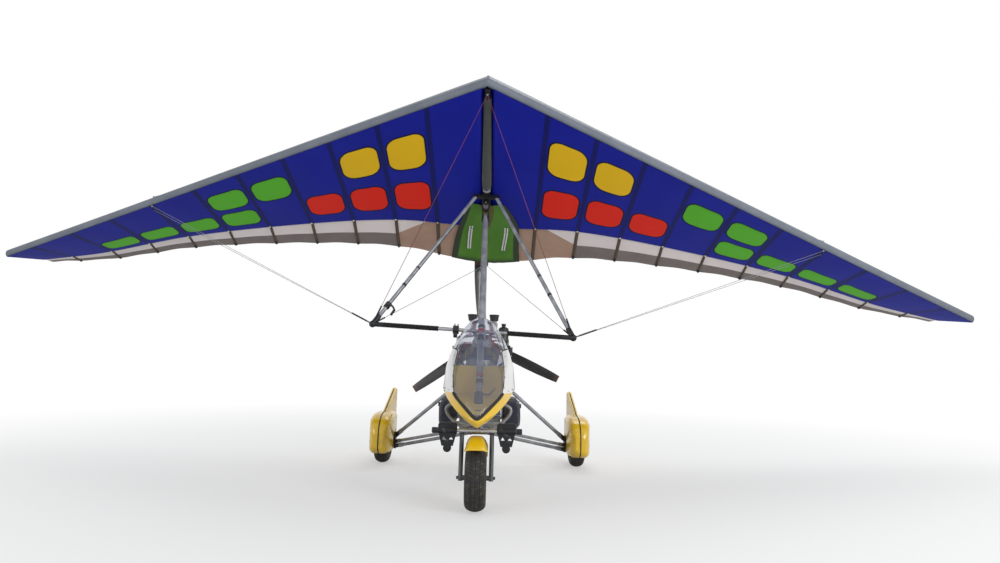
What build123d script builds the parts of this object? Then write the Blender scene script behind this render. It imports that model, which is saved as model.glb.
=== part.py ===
from build123d import *
from math import cos, radians, sin, tan
import os

os.makedirs("parts", exist_ok=True)

# A flex-wing microlight trike, parked on its three wheels with the control bar
# strapped forward against the front strut.
# Millimetres and degrees. X is to the right seen from the front, Y runs aft and Z up.
# The origin is on the ground, midway along the whole length.

# Stations of the trike, and the clearances that every piece shares
rear_axle_y = 398
wheelbase = 1867
track = 1794
front_axle_y = rear_axle_y - wheelbase
fit_gap = 0.3  # between pieces that seat on one another
pin_gap = 0.05  # radial, round a pin or a shaft that turns

# Wheels
tyre_radius = 210
front_tyre_width = 140
rear_tyre_width = 130
rim_radius = 105
rim_width = 92
rim_wall = 7
rim_lip = 9
bead_width = 7
hub_radius = 30
hub_width = 108
hub_play = 0.5
axle_radius = 10
tow_bore_radius = 5
spoke_count = 5
spoke_width = 26
spoke_thickness = 28

# Steering
rake = 15.5
axle_lead = 16  # the axle lies this far ahead of the steering axis
post_radius = 19
head_tube_radius = 26
head_tube_length = 96
head_height = 520
yoke_height = 492
yoke_thickness = 24
yoke_depth = 56
leg_offset = 100
leg_radius = 15
guard_clearance = 22
guard_crown = 34
guard_sheet = 3
guard_front = 72
guard_back = 66
foot_bar_span = 600
foot_bar_radius = 13
peg_length = 36
peg_radius = 18
pedal_offset = 195
pedal_width = 126
pedal_thickness = 18

# Frame
beam_size = 60
beam_wall = 3
beam_front = Vector(0, rear_axle_y - 1738, 562)
beam_rear = Vector(0, rear_axle_y + 60, 300)
mast_width = 48
mast_depth = 60
mast_wall = 3
mast_foot_y = rear_axle_y - 100
mast_bolt_radius = 5
strut_radius = 24
strut_wall = 2
strut_foot_y = rear_axle_y - 1579
strut_socket_depth = 60
plate_thickness = 6
hang_bolt_radius = 6
hang_point = Vector(0, rear_axle_y - 473, 2315)
head_reach = 112  # from the hang bolt to the bolts of the mast and of the strut
head_plate_radius = 25

# Wing attitude, as parked
wing_pitch = 27.57
wing_roll = 2.887

# Wing, in its own level frame with its origin at the hang bolt
half_span = 4990
nose_y = -1308
tip_y = 1134
keel_height = 120
tip_height = -78
keel_radius = 26
keel_wall = 2
keel_tail_y = 1040
edge_radius = 36  # leading edge, sail round its tube
edge_inset = 8  # from the foremost line of the wing's plan to the tube's axis
sheet = 4
roll_pin_height = 35
roll_pin_radius = 8
block_width = 44
block_depth = 50
ear_thickness = 7
bar_half = 784
bar_y = -62
bar_drop = -1302
bar_radius = 14
upright_radius = 16
upright_top = 100
upright_top_height = 60
knuckle_radius = 27
knuckle_core = 30
sleeve_length = 90
stay_radius = 2
stay_sleeve_radius = 5
stay_sleeve_length = 70
tang_radius = 9
side_station = 3100
kingpost_y = -200
kingpost_height = 950
kingpost_radius = 16
kingpost_cap = 12

# Propeller and engine
prop_y = rear_axle_y + 600
prop_height = 1135
prop_radius = 857
prop_phase = 95.3
blade_count = 3
shaft_radius = 20
hub_disc_radius = 62
crank_height = 1035
case_width = 190
case_height = 200
case_length = 300
case_flange = 8
case_front_y = rear_axle_y - 20
barrel_radius = 48
barrel_reach = 212
barrel_rise = 10
fin_half_width = 52
fin_radius = 66
fin_count = 7
fin_thickness = 4
head_length = 50
head_width = 104
head_half_height = 59
cover_length = 24
intake_radius = 15
intake_rise = 45
carburettor_radius = 22
filter_radius = 38
exhaust_radius = 17
muffler_radius = 68
muffler_length = 400
muffler_drop = 225
gear_leg_drop = 135  # from the crankshaft down to the tops of the gear legs
mount_tube_radius = 11
mount_spread = 60
radiator_width = 300
radiator_rise = 170
radiator_depth = 44
radiator_height = 720
radiator_slots = 11

# Seats, tank and bags
rail_radius = 11
rail_x = 190
cushion_height = 70
front_cushion_z = 540
rear_cushion_z = 665
seat_width = 2 * (rail_x + 4)
seat_back_width = 340
seat_back_thickness = 56
tank_half = 175
tank_bottom = 372
tank_front_y = rear_axle_y - 615
tank_back_y = rear_axle_y - 175
filler_radius = 24
pannier_width = 130
pannier_length = 620
pannier_bottom = 392
pannier_height = 285
pannier_y = rear_axle_y - 640

# Spats, sizes from each rear wheel's centre plane and from the axle
spat_half = 104
spat_seat = spat_half - 5  # the flat on which the hub carrier sits
spat_clearance = 13
spat_fin_half = 22
hub_carrier_thickness = 18
spat_sections = [  # distance aft of the axle, half width, bottom height, top height
    (-322, 40, 172, 300),
    (-240, 88, 112, 415),
    (-50, spat_half, 98, 460),
    (150, 97, 108, 457),
    (340, 64, 175, 430),
    (520, spat_fin_half, 275, 395),
]
spat_fin_corners = [  # distance aft of the axle, height
    (-60, 380),
    (-60, 441),
    (575, 652),
    (650, 640),
    (640, 340),
    (430, 262),
    (200, 300),
]

# Pod, one smooth shell that is cut into its screen, its sides and its lower body
pod_wall = 4
pod_nose = 2022
pod_back = 1290
pod_floor_back = 1100
pod_stations = [
    # ahead of the axle; heights of keel, chine, shoulder, crown; half width at chine, at shoulder
    (pod_nose, 574, 588, 598, 612, 14, 13),
    (1985, 546, 602, 638, 690, 66, 60),
    (1880, 532, 652, 740, 850, 150, 136),
    (1650, 520, 736, 870, 1060, 232, 212),
    (pod_back, 500, 796, 1020, 1287, 262, 240),
    (pod_floor_back, 478, 800, 1010, 1270, 262, 240),
]
belly_fullness = 0.60  # how far out and how far up the belly's arc passes
belly_rise = 0.48
side_split_height = 752
screen_outline = [  # half of the screen's edge seen from the front: distance from the middle, height
    (0, 604),
    (150, 748),
    (166, 800),
    (166, 1040),
    (300, 1075),
    (300, 1500),
    (0, 1500),
]
beam_slot_half = 75
beam_slot_front = 1870
beam_slot_back = 930
beam_slot_height = 660
binnacle_front = 1309
binnacle_depth = 62
binnacle_top = 925
pod_stay_station = 1180
pod_stay_height = 640
pod_stay_radius = 11
pod_post_radius = 9

across = Vector(1, 0, 0)


def front_view(y, z=0.0):
    """The plane square to Y whose axes are X and Z. It looks forward, so less than 0 is aft."""
    return Plane(origin=(0, y, z), x_dir=(1, 0, 0), z_dir=(0, -1, 0))


def side_view(x, y=0.0, z=0.0):
    """The plane square to X whose axes are Y and Z. It looks to +X."""
    return Plane(origin=(x, y, z), x_dir=(0, 1, 0), z_dir=(1, 0, 0))


def rod(start, end, radius):
    """A round bar from start to end."""
    with BuildPart(mode=Mode.PRIVATE) as bar:
        with BuildSketch(Plane(origin=start, z_dir=end - start)):
            Circle(radius)
        extrude(amount=(end - start).length)
    return bar.part


def save(part, label):
    """Names a finished piece and writes it."""
    part.label = label
    export_step(part, f"parts/{label}.step")


def beam_point(y):
    """The beam's centre line at this y."""
    share = (y - beam_rear.Y) / (beam_front.Y - beam_rear.Y)
    return beam_rear + (beam_front - beam_rear) * share


# Places that follow from the sizes
beam_axis = (beam_front - beam_rear).normalized()
beam_up = Vector(0, beam_axis.Z, -beam_axis.Y)
beam_plane = Plane(origin=beam_rear, x_dir=(1, 0, 0), z_dir=beam_axis)
mast_foot = beam_point(mast_foot_y) + beam_up * (beam_size / 2 + 45)
mast_axis = (hang_point - mast_foot).normalized()
strut_foot = beam_point(strut_foot_y) + beam_up * (beam_size / 2)
strut_axis = (hang_point + Vector(0, 0, -20) - strut_foot).normalized()
steer_axis = Vector(0, sin(radians(rake)), cos(radians(rake)))
front_axle = Vector(0, front_axle_y, tyre_radius)
rear_axle = Vector(0, rear_axle_y, tyre_radius)


def steer_point(height, ahead=0.0):
    """A point at this height on the steering axis, or on a line ahead of it."""
    rise = height - front_axle.Z
    return front_axle + Vector(0, axle_lead + rise * tan(radians(rake)) - ahead, rise)


def mast_point(height):
    """The mast's centre line at this height."""
    return mast_foot + mast_axis * ((height - mast_foot.Z) / mast_axis.Z)


block_place = Location(hang_point) * Location((0, 0, 0), (-wing_pitch, 0, 0))
roll_turn = Pos(0, 0, roll_pin_height) * Rot(0, wing_roll, 0) * Pos(0, 0, -roll_pin_height)
wing_place = block_place * roll_turn

# The frame

# The beam is one square tube from the steering head to the mast's foot.
with BuildPart() as base_beam:
    with BuildSketch(beam_plane):
        RectangleRounded(beam_size, beam_size, 8)
        RectangleRounded(beam_size - 2 * beam_wall, beam_size - 2 * beam_wall, 5, mode=Mode.SUBTRACT)
    extrude(amount=(beam_front - beam_rear).length)
    # steering head, welded to the beam's front end
    head_foot = steer_point(head_height)
    add(rod(head_foot, head_foot + steer_axis * head_tube_length, head_tube_radius))
    post_hole = rod(head_foot - steer_axis * 60, head_foot + steer_axis * 220, post_radius + pin_gap)
    add(post_hole, mode=Mode.SUBTRACT)
    # two ears that take the mast's foot
    for side in (-1, 1):
        ear_x = side * (mast_width / 2 + fit_gap + plate_thickness / 2)
        with BuildSketch(side_view(ear_x, mast_foot.Y, mast_foot.Z)):
            Circle(mast_depth / 2 - 2)
            with Locations((0, -34)):
                Rectangle(90, 56)
            Circle(mast_bolt_radius + fit_gap, mode=Mode.SUBTRACT)
        extrude(amount=plate_thickness / 2, both=True)
save(base_beam.part, "base_beam")

# The mast leans forward from its foot to the hang bolt.
mast_plane = Plane(origin=mast_foot, x_dir=(1, 0, 0), z_dir=mast_axis)
mast_length = (hang_point - mast_foot).length - 62
head_bolt = hang_point - mast_axis * head_reach
with BuildPart() as mast:
    with BuildSketch(mast_plane.offset(-26)):
        RectangleRounded(mast_width, mast_depth, 9)
        RectangleRounded(mast_width - 2 * mast_wall, mast_depth - 2 * mast_wall, 6, mode=Mode.SUBTRACT)
    extrude(amount=mast_length + 26)
    # holes for the foot bolt and the head bolt
    for centre in (mast_foot, head_bolt):
        bolt_hole = rod(centre - across * mast_width, centre + across * mast_width, mast_bolt_radius + fit_gap)
        add(bolt_hole, mode=Mode.SUBTRACT)
save(mast.part, "mast")

# Foot bolt of the mast.
with BuildPart() as mast_foot_bolt:
    bolt_half = mast_width / 2 + 2 * fit_gap + plate_thickness
    add(rod(mast_foot - across * (bolt_half + 8), mast_foot + across * (bolt_half + 8), mast_bolt_radius))
    for side in (-1, 1):
        with BuildSketch(Plane(origin=mast_foot + across * side * bolt_half, z_dir=across * side)):
            RegularPolygon(9, 6)
        extrude(amount=7)
save(mast_foot_bolt.part, "mast_foot_bolt")

# The front strut runs from its socket on the beam up to the mast head.
strut_start = strut_foot + strut_axis * strut_socket_depth
strut_end = hang_point + Vector(0, 0, -20) - strut_axis * 72
strut_bolt = strut_end - strut_axis * 40
with BuildPart() as front_strut:
    add(rod(strut_start, strut_end, strut_radius))
    strut_bore = rod(strut_start - strut_axis, strut_end + strut_axis, strut_radius - strut_wall)
    add(strut_bore, mode=Mode.SUBTRACT)
    bolt_hole = rod(
        strut_bolt - across * 2 * strut_radius, strut_bolt + across * 2 * strut_radius, mast_bolt_radius + fit_gap
    )
    add(bolt_hole, mode=Mode.SUBTRACT)
save(front_strut.part, "front_strut")

# Strut socket: a collar on a foot that stands on the beam.
with BuildPart() as strut_socket:
    add(rod(strut_foot - strut_axis * 60, strut_foot + strut_axis * 195, strut_radius + 9))
    socket_floor = strut_start - strut_axis * fit_gap
    add(rod(socket_floor, socket_floor + strut_axis * 400, strut_radius + fit_gap), mode=Mode.SUBTRACT)
    with BuildSketch(Plane(origin=strut_foot + beam_up * 12, x_dir=(1, 0, 0), z_dir=beam_up)):
        RectangleRounded(beam_size - 2, 110, 6)
    extrude(amount=24, both=True)
    split(bisect_by=Plane(origin=strut_foot + beam_up * fit_gap, x_dir=(1, 0, 0), z_dir=beam_up), keep=Keep.TOP)
save(strut_socket.part, "strut_socket")

# Mast head: two plates that hold the mast, the strut and the hang bolt between them.
with BuildPart() as mast_head:
    head_view = side_view(0, hang_point.Y, hang_point.Z)
    bolt_places = [head_view.to_local_coords(point) for point in (hang_point, head_bolt, strut_bolt)]
    inner_face = mast_width / 2 + fit_gap
    for side in (-1, 1):
        with BuildSketch(head_view.offset(side * (inner_face + plate_thickness / 2))):
            for place in bolt_places:
                with Locations((place.X, place.Y)):
                    Circle(head_plate_radius)
            make_hull()
        extrude(amount=plate_thickness / 2, both=True)
    bolt_reach = inner_face + plate_thickness + 6
    for place, radius in zip(bolt_places, (hang_bolt_radius, mast_bolt_radius, mast_bolt_radius)):
        with BuildSketch(head_view.offset(-bolt_reach)):
            with Locations((place.X, place.Y)):
                Circle(radius)
        extrude(amount=2 * bolt_reach)
save(mast_head.part, "mast_head")

# Rear gear

carrier_x = track / 2 - spat_seat - fit_gap - hub_carrier_thickness
socket_length = 70
socket_wall = 3.5
rod_overrun = 60
gear_rods = [  # name, outer end, inner end, x of the inner seat, radius; y is from the rear axle
    ("axle_arm", (carrier_x, -4, 152), (beam_size / 2, -30, 300), beam_size / 2, 16),
    ("drag_arm", (carrier_x, -46, 196), (beam_size / 2, -780, 418), beam_size / 2, 14),
    ("gear_leg", (carrier_x, -6, 250), (mast_width / 2, -196, crank_height - gear_leg_drop), mast_width / 2, 17),
]
carrier_bosses = [  # y and z from the axle, radius
    (0, 0, 34),
    (-4, -58, 26),
    (-6, 42, 28),
    (-46, -14, 24),
]

with BuildPart() as hub_carriers:
    carrier_plane = side_view(carrier_x, rear_axle_y, tyre_radius)
    with BuildSketch(carrier_plane):
        for y, z, radius in carrier_bosses:
            with Locations((y, z)):
                Circle(radius)
        make_hull()
    extrude(amount=hub_carrier_thickness)
    stub_start = rear_axle + across * carrier_x
    hub_centre = rear_axle + across * (track / 2)
    add(rod(stub_start, hub_centre + across * (hub_width / 2 + 8), axle_radius))
    # shoulder that keeps the wheel off the spat's wall
    add(rod(stub_start, hub_centre - across * (hub_width / 2 + hub_play), axle_radius + 6))
    # nut
    with BuildSketch(side_view(track / 2 + hub_width / 2 + 2 * hub_play, rear_axle_y, tyre_radius)):
        RegularPolygon(17, 6)
    extrude(amount=9)
    mirror(about=Plane.YZ)
save(hub_carriers.part, "hub_carriers")

for name, outer, inner, seat, radius in gear_rods:
    start = Vector(outer[0], rear_axle_y + outer[1], outer[2])
    end = Vector(inner[0], rear_axle_y + inner[1], inner[2])
    reach = (end - start).normalized()
    with BuildPart() as rods:
        add(rod(start - reach * rod_overrun, end + reach * rod_overrun, radius))
        # a thicker socket at each end
        add(rod(start - reach * rod_overrun, start + reach * socket_length, radius + socket_wall))
        add(rod(end - reach * socket_length, end + reach * rod_overrun, radius + socket_wall))
        split(bisect_by=Plane(origin=(seat + fit_gap, 0, 0), z_dir=(1, 0, 0)), keep=Keep.TOP)
        split(bisect_by=Plane(origin=(carrier_x - fit_gap, 0, 0), z_dir=(1, 0, 0)), keep=Keep.BOTTOM)
        mirror(about=Plane.YZ)
    save(rods.part, name + "s")

# Wheels

wheel_table = [  # name, centre, tyre width
    ("front", front_axle, front_tyre_width),
    ("rear_left", rear_axle - across * (track / 2), rear_tyre_width),
    ("rear_right", rear_axle + across * (track / 2), rear_tyre_width),
]
bead_radius = rim_radius + fit_gap
for name, centre, width in wheel_table:
    half = width / 2
    tread_half = half * 0.72
    section = Plane(origin=centre, x_dir=(1, 0, 0), z_dir=(0, -1, 0))
    with BuildPart() as tyre:
        with BuildSketch(section):
            with BuildLine():
                bead = rim_width / 2 - bead_width - fit_gap
                flank = bead_radius + 12
                belt = bead_radius + 52
                edge = tyre_radius - 14
                Polyline((-bead, flank), (-bead, bead_radius), (bead, bead_radius), (bead, flank))
                ThreePointArc((bead, flank), (half, belt), (tread_half, edge))
                ThreePointArc((tread_half, edge), (0, tyre_radius), (-tread_half, edge))
                ThreePointArc((-tread_half, edge), (-half, belt), (-bead, flank))
            make_face()
        revolve(axis=Axis(centre, across))
    save(tyre.part, name + "_tyre")
    with BuildPart() as rim:
        with BuildSketch(section):
            # barrel with two flanges
            with BuildLine():
                Polyline(
                    (-rim_width / 2, rim_radius + rim_lip),
                    (-rim_width / 2 + bead_width, rim_radius + rim_lip),
                    (-rim_width / 2 + bead_width, rim_radius),
                    (rim_width / 2 - bead_width, rim_radius),
                    (rim_width / 2 - bead_width, rim_radius + rim_lip),
                    (rim_width / 2, rim_radius + rim_lip),
                    (rim_width / 2, rim_radius - rim_wall),
                    (-rim_width / 2, rim_radius - rim_wall),
                    close=True,
                )
            make_face()
            # hub
            with Locations((0, (hub_radius + axle_radius + pin_gap) / 2)):
                Rectangle(hub_width, hub_radius - axle_radius - pin_gap)
        revolve(axis=Axis(centre, across))
        spoke_reach = rim_radius - rim_wall - hub_radius
        with BuildSketch(Plane(origin=centre, x_dir=(0, 1, 0), z_dir=(1, 0, 0))):
            with PolarLocations(hub_radius + spoke_reach / 2, spoke_count):
                Rectangle(spoke_reach + 10, spoke_width)
        extrude(amount=spoke_thickness / 2, both=True)
    save(rim.part, name + "_rim")

# Steering

with BuildPart() as fork:
    yoke_plane = Plane(origin=steer_point(yoke_height), x_dir=(1, 0, 0), z_dir=steer_axis)
    with BuildSketch(yoke_plane):
        with Locations((0, -axle_lead / 2)):
            RectangleRounded(2 * (leg_offset + leg_radius + 4), yoke_depth, 14)
    extrude(amount=yoke_thickness / 2, both=True)
    # steering post, up through the head, with a cap above it
    cap_base = steer_point(head_height) + steer_axis * (head_tube_length + 1)
    add(rod(steer_point(yoke_height), cap_base + steer_axis * 5, post_radius))
    add(rod(cap_base, cap_base + steer_axis * 14, head_tube_radius))
    axle_reach = leg_offset + leg_radius + 12
    add(rod(front_axle - across * axle_reach, front_axle + across * axle_reach, axle_radius))
    for side in (-1, 1):
        leg_top = steer_point(yoke_height, axle_lead) + across * side * leg_offset
        leg_foot = front_axle + across * side * leg_offset
        add(rod(leg_top, leg_foot + (leg_foot - leg_top).normalized() * 20, leg_radius))
        # shoulder beside the hub
        shoulder = front_axle + across * side * (hub_width / 2 + hub_play)
        add(rod(shoulder, leg_foot, axle_radius + 6))
    # the axle is hollow, for the pins of a tow bar
    tow_bore = rod(front_axle - across * 2 * leg_offset, front_axle + across * 2 * leg_offset, tow_bore_radius)
    add(tow_bore, mode=Mode.SUBTRACT)
save(fork.part, "fork")

# Mudguard: an arch over the front tyre, held at the fork's legs.
guard_half = leg_offset - leg_radius - fit_gap
guard_edge = tyre_radius + guard_clearance - guard_crown
guard_top = tyre_radius + guard_clearance + guard_crown
guard_lean = radians(guard_back)
guard_plane = Plane(origin=front_axle, x_dir=(1, 0, 0), z_dir=(0, -cos(guard_lean), sin(guard_lean)))
with BuildPart() as front_mudguard:
    with BuildSketch(guard_plane):
        with BuildLine():
            inner_half = guard_half - guard_sheet
            ThreePointArc((-guard_half, guard_edge), (0, guard_top), (guard_half, guard_edge))
            Line((guard_half, guard_edge), (inner_half, guard_edge))
            ThreePointArc((inner_half, guard_edge), (0, guard_top - guard_sheet), (-inner_half, guard_edge))
            Line((-inner_half, guard_edge), (-guard_half, guard_edge))
        make_face()
    revolve(axis=Axis(front_axle, across), revolution_arc=guard_front + guard_back)
save(front_mudguard.part, "front_mudguard")

# Foot bar, clamped ahead of the yoke, with a peg at each end.
bar_ahead = axle_lead / 2 + yoke_depth / 2 + foot_bar_radius + fit_gap
bar_centre = yoke_plane.from_local_coords(Vector(0, -bar_ahead, 0))
with BuildPart() as foot_bar:
    bar_end = across * (foot_bar_span / 2)
    add(rod(bar_centre - bar_end, bar_centre + bar_end, foot_bar_radius))
    for side in (-1, 1):
        peg_end = bar_centre + across * side * (foot_bar_span / 2 - 2)
        add(rod(peg_end - across * side * peg_length, peg_end, peg_radius))
save(foot_bar.part, "foot_bar")

# Pedals on the foot bar: a pad above, a pierced plate below and a round foot.
with BuildPart() as pedals:
    for side in (-1, 1):
        base = bar_centre + across * side * pedal_offset
        with BuildSketch(Plane(origin=base, x_dir=(1, 0, 0), z_dir=(0, -1, 0))):
            with Locations((0, 16)):
                RectangleRounded(pedal_width, 72, 18)
            with Locations((0, -58)):
                Trapezoid(pedal_width - 8, 84, 76, rotation=180)
            with Locations((0, -114)):
                Circle(27)
            with Locations((-24, -52), (24, -52)):
                RegularPolygon(16, 3, rotation=90, mode=Mode.SUBTRACT)
        extrude(amount=pedal_thickness / 2, both=True)
        clamp_half = across * (pedal_width / 2)
        add(rod(base - clamp_half, base + clamp_half, foot_bar_radius + 7))
        bar_hole = rod(base - clamp_half * 2, base + clamp_half * 2, foot_bar_radius + fit_gap)
        add(bar_hole, mode=Mode.SUBTRACT)
save(pedals.part, "pedals")

# Pod


def pod_form(inset):
    """The pod's smooth outer form drawn in by the inset: a V belly, flat flanks and a round crown."""
    with BuildPart(mode=Mode.PRIVATE) as form:
        for ahead, keel, chine, shoulder, crown, chine_half, shoulder_half in pod_stations:
            nose_inset = inset if ahead == pod_nose else 0
            with BuildSketch(front_view(rear_axle_y - ahead + nose_inset)):
                with BuildLine():
                    low = (0, keel + 1.3 * inset)
                    chine_x = chine_half - inset
                    shoulder_x = shoulder_half - inset
                    belly_x = belly_fullness * chine_x
                    belly_z = low[1] + belly_rise * (chine - keel)
                    ThreePointArc(low, (belly_x, belly_z), (chine_x, chine))
                    Line((chine_x, chine), (shoulder_x, shoulder))
                    ThreePointArc((shoulder_x, shoulder), (0, crown - inset), (-shoulder_x, shoulder))
                    Line((-shoulder_x, shoulder), (-chine_x, chine))
                    ThreePointArc((-chine_x, chine), (-belly_x, belly_z), low)
                make_face()
        loft()
    return form.part


def screen_prism(grow):
    """A prism through the pod with the screen's outline, grown by this much."""
    with BuildPart(mode=Mode.PRIVATE) as prism:
        with BuildSketch(front_view(rear_axle_y - pod_nose - 100)):
            other_half = [(-x, z) for x, z in reversed(screen_outline[1:-1])]
            with BuildLine():
                Polyline(*screen_outline, *other_half, close=True)
            make_face()
            offset(amount=grow, kind=Kind.INTERSECTION)
        extrude(amount=-(pod_nose - pod_floor_back + 200))
    return prism.part


pod_back_plane = Plane(origin=(0, rear_axle_y - pod_back, 0), z_dir=(0, 1, 0))
split_plane = Plane(origin=(0, 0, side_split_height))

with BuildPart() as pod_shell:
    add(pod_form(0))
    add(pod_form(pod_wall), mode=Mode.SUBTRACT)

with BuildPart() as windscreen:
    add(pod_shell.part)
    add(screen_prism(-fit_gap / 2), mode=Mode.INTERSECT)
    split(bisect_by=pod_back_plane, keep=Keep.BOTTOM)
save(windscreen.part, "windscreen")

with BuildPart() as pod_body:
    add(pod_shell.part)
    add(screen_prism(fit_gap / 2), mode=Mode.SUBTRACT)

with BuildPart() as pod_sides:
    add(pod_body.part)
    split(bisect_by=split_plane, keep=Keep.TOP)
    split(bisect_by=pod_back_plane, keep=Keep.BOTTOM)
save(pod_sides.part, "pod_sides")

with BuildPart() as pod_lower:
    add(pod_body.part)
    split(bisect_by=split_plane, keep=Keep.BOTTOM)
    # the slot that the beam and the steering head pass through
    with BuildSketch(front_view(rear_axle_y - beam_slot_front)):
        with Locations((0, beam_slot_height / 2)):
            Rectangle(2 * beam_slot_half, beam_slot_height)
    extrude(amount=-(beam_slot_front - beam_slot_back), mode=Mode.SUBTRACT)
save(pod_lower.part, "pod_lower")

pod_room = pod_form(pod_wall + fit_gap)

# Instrument binnacle behind the strut, seated on the pod's sides.
gauges = [  # distance from the middle, height, radius
    (-105, 850, 40),
    (0, 850, 40),
    (105, 850, 40),
    (-55, 765, 28),
    (55, 765, 28),
]
with BuildPart() as binnacle:
    with BuildSketch(front_view(rear_axle_y - binnacle_front)):
        with BuildLine():
            Polyline(
                (-300, 700),
                (-300, binnacle_top - 20),
                (-150, binnacle_top),
                (150, binnacle_top),
                (300, binnacle_top - 20),
                (300, 700),
                close=True,
            )
        make_face()
    extrude(amount=-binnacle_depth)
    with BuildSketch(front_view(rear_axle_y - binnacle_front + binnacle_depth)):
        for x, z, radius in gauges:
            with Locations((x, z)):
                Circle(radius)
    extrude(amount=6, mode=Mode.SUBTRACT)
    add(pod_room, mode=Mode.INTERSECT)
save(binnacle.part, "binnacle")

# A cross tube on a post carries the pod on the beam.
with BuildPart() as pod_stays:
    stay_y = rear_axle_y - pod_stay_station
    post_foot = beam_point(stay_y) + beam_up * (beam_size / 2 + fit_gap)
    stay_middle = Vector(0, stay_y, pod_stay_height)
    with BuildSketch(Plane(origin=post_foot, x_dir=(1, 0, 0), z_dir=beam_up)):
        RectangleRounded(beam_size - 10, beam_size, 8)
    extrude(amount=plate_thickness)
    add(rod(post_foot + beam_up * (plate_thickness / 2), stay_middle, pod_post_radius))
    add(rod(stay_middle - across * 400, stay_middle + across * 400, pod_stay_radius))
    add(pod_room, mode=Mode.INTERSECT)
save(pod_stays.part, "pod_stays")

# Seats, tank and bags

seat_table = [
    # name, cushion's middle y and z, cushion's length, back's y, back's height, back's lean aft
    ("front_seat", -890, front_cushion_z, 400, -705, 330, 10),
    ("rear_seat", -440, rear_cushion_z, 380, -305, 420, -4),
]
for name, cushion_y, cushion_z, length, back_y, height, lean in seat_table:
    tilt = radians(lean)
    back_plane = Plane(
        origin=(0, rear_axle_y + back_y, cushion_z + 10), x_dir=(1, 0, 0), z_dir=(0, -cos(tilt), sin(tilt))
    )
    with BuildPart() as seat_back:
        with BuildSketch(back_plane):
            with BuildLine():
                half = seat_back_width / 2
                FilletPolyline(
                    (-half + 30, 0),
                    (-half, 0.6 * height),
                    (-half + 40, height),
                    (half - 40, height),
                    (half, 0.6 * height),
                    (half - 30, 0),
                    radius=40,
                    close=True,
                )
            make_face()
        extrude(amount=seat_back_thickness / 2, both=True)
        fillet(seat_back.faces().sort_by(SortBy.AREA)[-2:].edges(), 16)
    with BuildPart() as seat:
        with BuildSketch(Plane.XY.offset(cushion_z - cushion_height / 2)):
            with Locations((0, rear_axle_y + cushion_y)):
                RectangleRounded(seat_width, length, 60)
        extrude(amount=cushion_height)
        fillet(seat.edges().group_by(Axis.Z)[-1], 24)
        add(seat_back.part)
    save(seat.part, name)

rail_front_z = front_cushion_z - cushion_height / 2 - fit_gap - rail_radius
rail_rear_z = rear_cushion_z - cushion_height / 2 - fit_gap - rail_radius

# Fuel tank: a moulded shell astride the beam, with its filler behind the rear seat.
tank_top = rail_rear_z + rail_radius
with BuildPart() as fuel_tank:
    with BuildSketch(Plane.XY.offset(tank_bottom)):
        with Locations((0, (tank_front_y + tank_back_y) / 2)):
            RectangleRounded(2 * tank_half, tank_back_y - tank_front_y, 50)
    extrude(amount=tank_top - tank_bottom)
    fillet(fuel_tank.edges().group_by(Axis.Z)[-1], 16)
    fillet(fuel_tank.edges().group_by(Axis.Z)[0], 16)
    filler = Vector(-100, tank_back_y - 38, tank_top - 4)
    add(rod(filler, filler + Vector(0, 0, 28), filler_radius))
    add(rod(filler + Vector(0, 0, 28), filler + Vector(0, 0, 42), filler_radius + 6))
    with BuildSketch(beam_plane):
        with Locations((0, beam_size / 2)):
            Rectangle(beam_size + 2 * fit_gap, 2 * beam_size + 2 * fit_gap)
    extrude(amount=3000, mode=Mode.SUBTRACT)
save(fuel_tank.part, "fuel_tank")

# Seat rails: one bent tube each side, with stubs in to the beam and to the mast.
rail_stubs = [  # distance aft of the axle, height, half width of what it meets
    (-1060, rail_front_z - 12, beam_size / 2),
    (-720, rail_front_z, beam_size / 2),
    (-162, rail_rear_z, mast_width / 2),
]
with BuildPart() as seat_rails:
    for side in (-1, 1):
        corners = [
            Vector(side * rail_x, rear_axle_y - 1085, rail_front_z),
            Vector(side * rail_x, rear_axle_y - 672, rail_front_z),
            Vector(side * rail_x, rear_axle_y - 628, rail_rear_z),
            Vector(side * rail_x, rear_axle_y - 150, rail_rear_z),
        ]
        with BuildLine():
            path = FilletPolyline(*corners, radius=30)
        with BuildSketch(Plane(origin=corners[0], x_dir=(1, 0, 0), z_dir=(0, 1, 0))):
            Circle(rail_radius)
        sweep(path=path)
        for y, z, inner in rail_stubs:
            rail_place = Vector(side * rail_x, rear_axle_y + y, z)
            add(rod(Vector(side * (inner + fit_gap), rail_place.Y, z), rail_place, rail_radius))
save(seat_rails.part, "seat_rails")

with BuildPart() as panniers:
    pannier_x = rail_x + rail_radius + fit_gap + pannier_width / 2
    with BuildSketch(Plane.XY.offset(pannier_bottom)):
        with Locations((-pannier_x, pannier_y), (pannier_x, pannier_y)):
            RectangleRounded(pannier_width, pannier_length, 40)
    extrude(amount=pannier_height)
    fillet(panniers.edges().group_by(Axis.Z)[-1], 32)
    fillet(panniers.edges().group_by(Axis.Z)[0], 32)
save(panniers.part, "panniers")

# Engine

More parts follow.
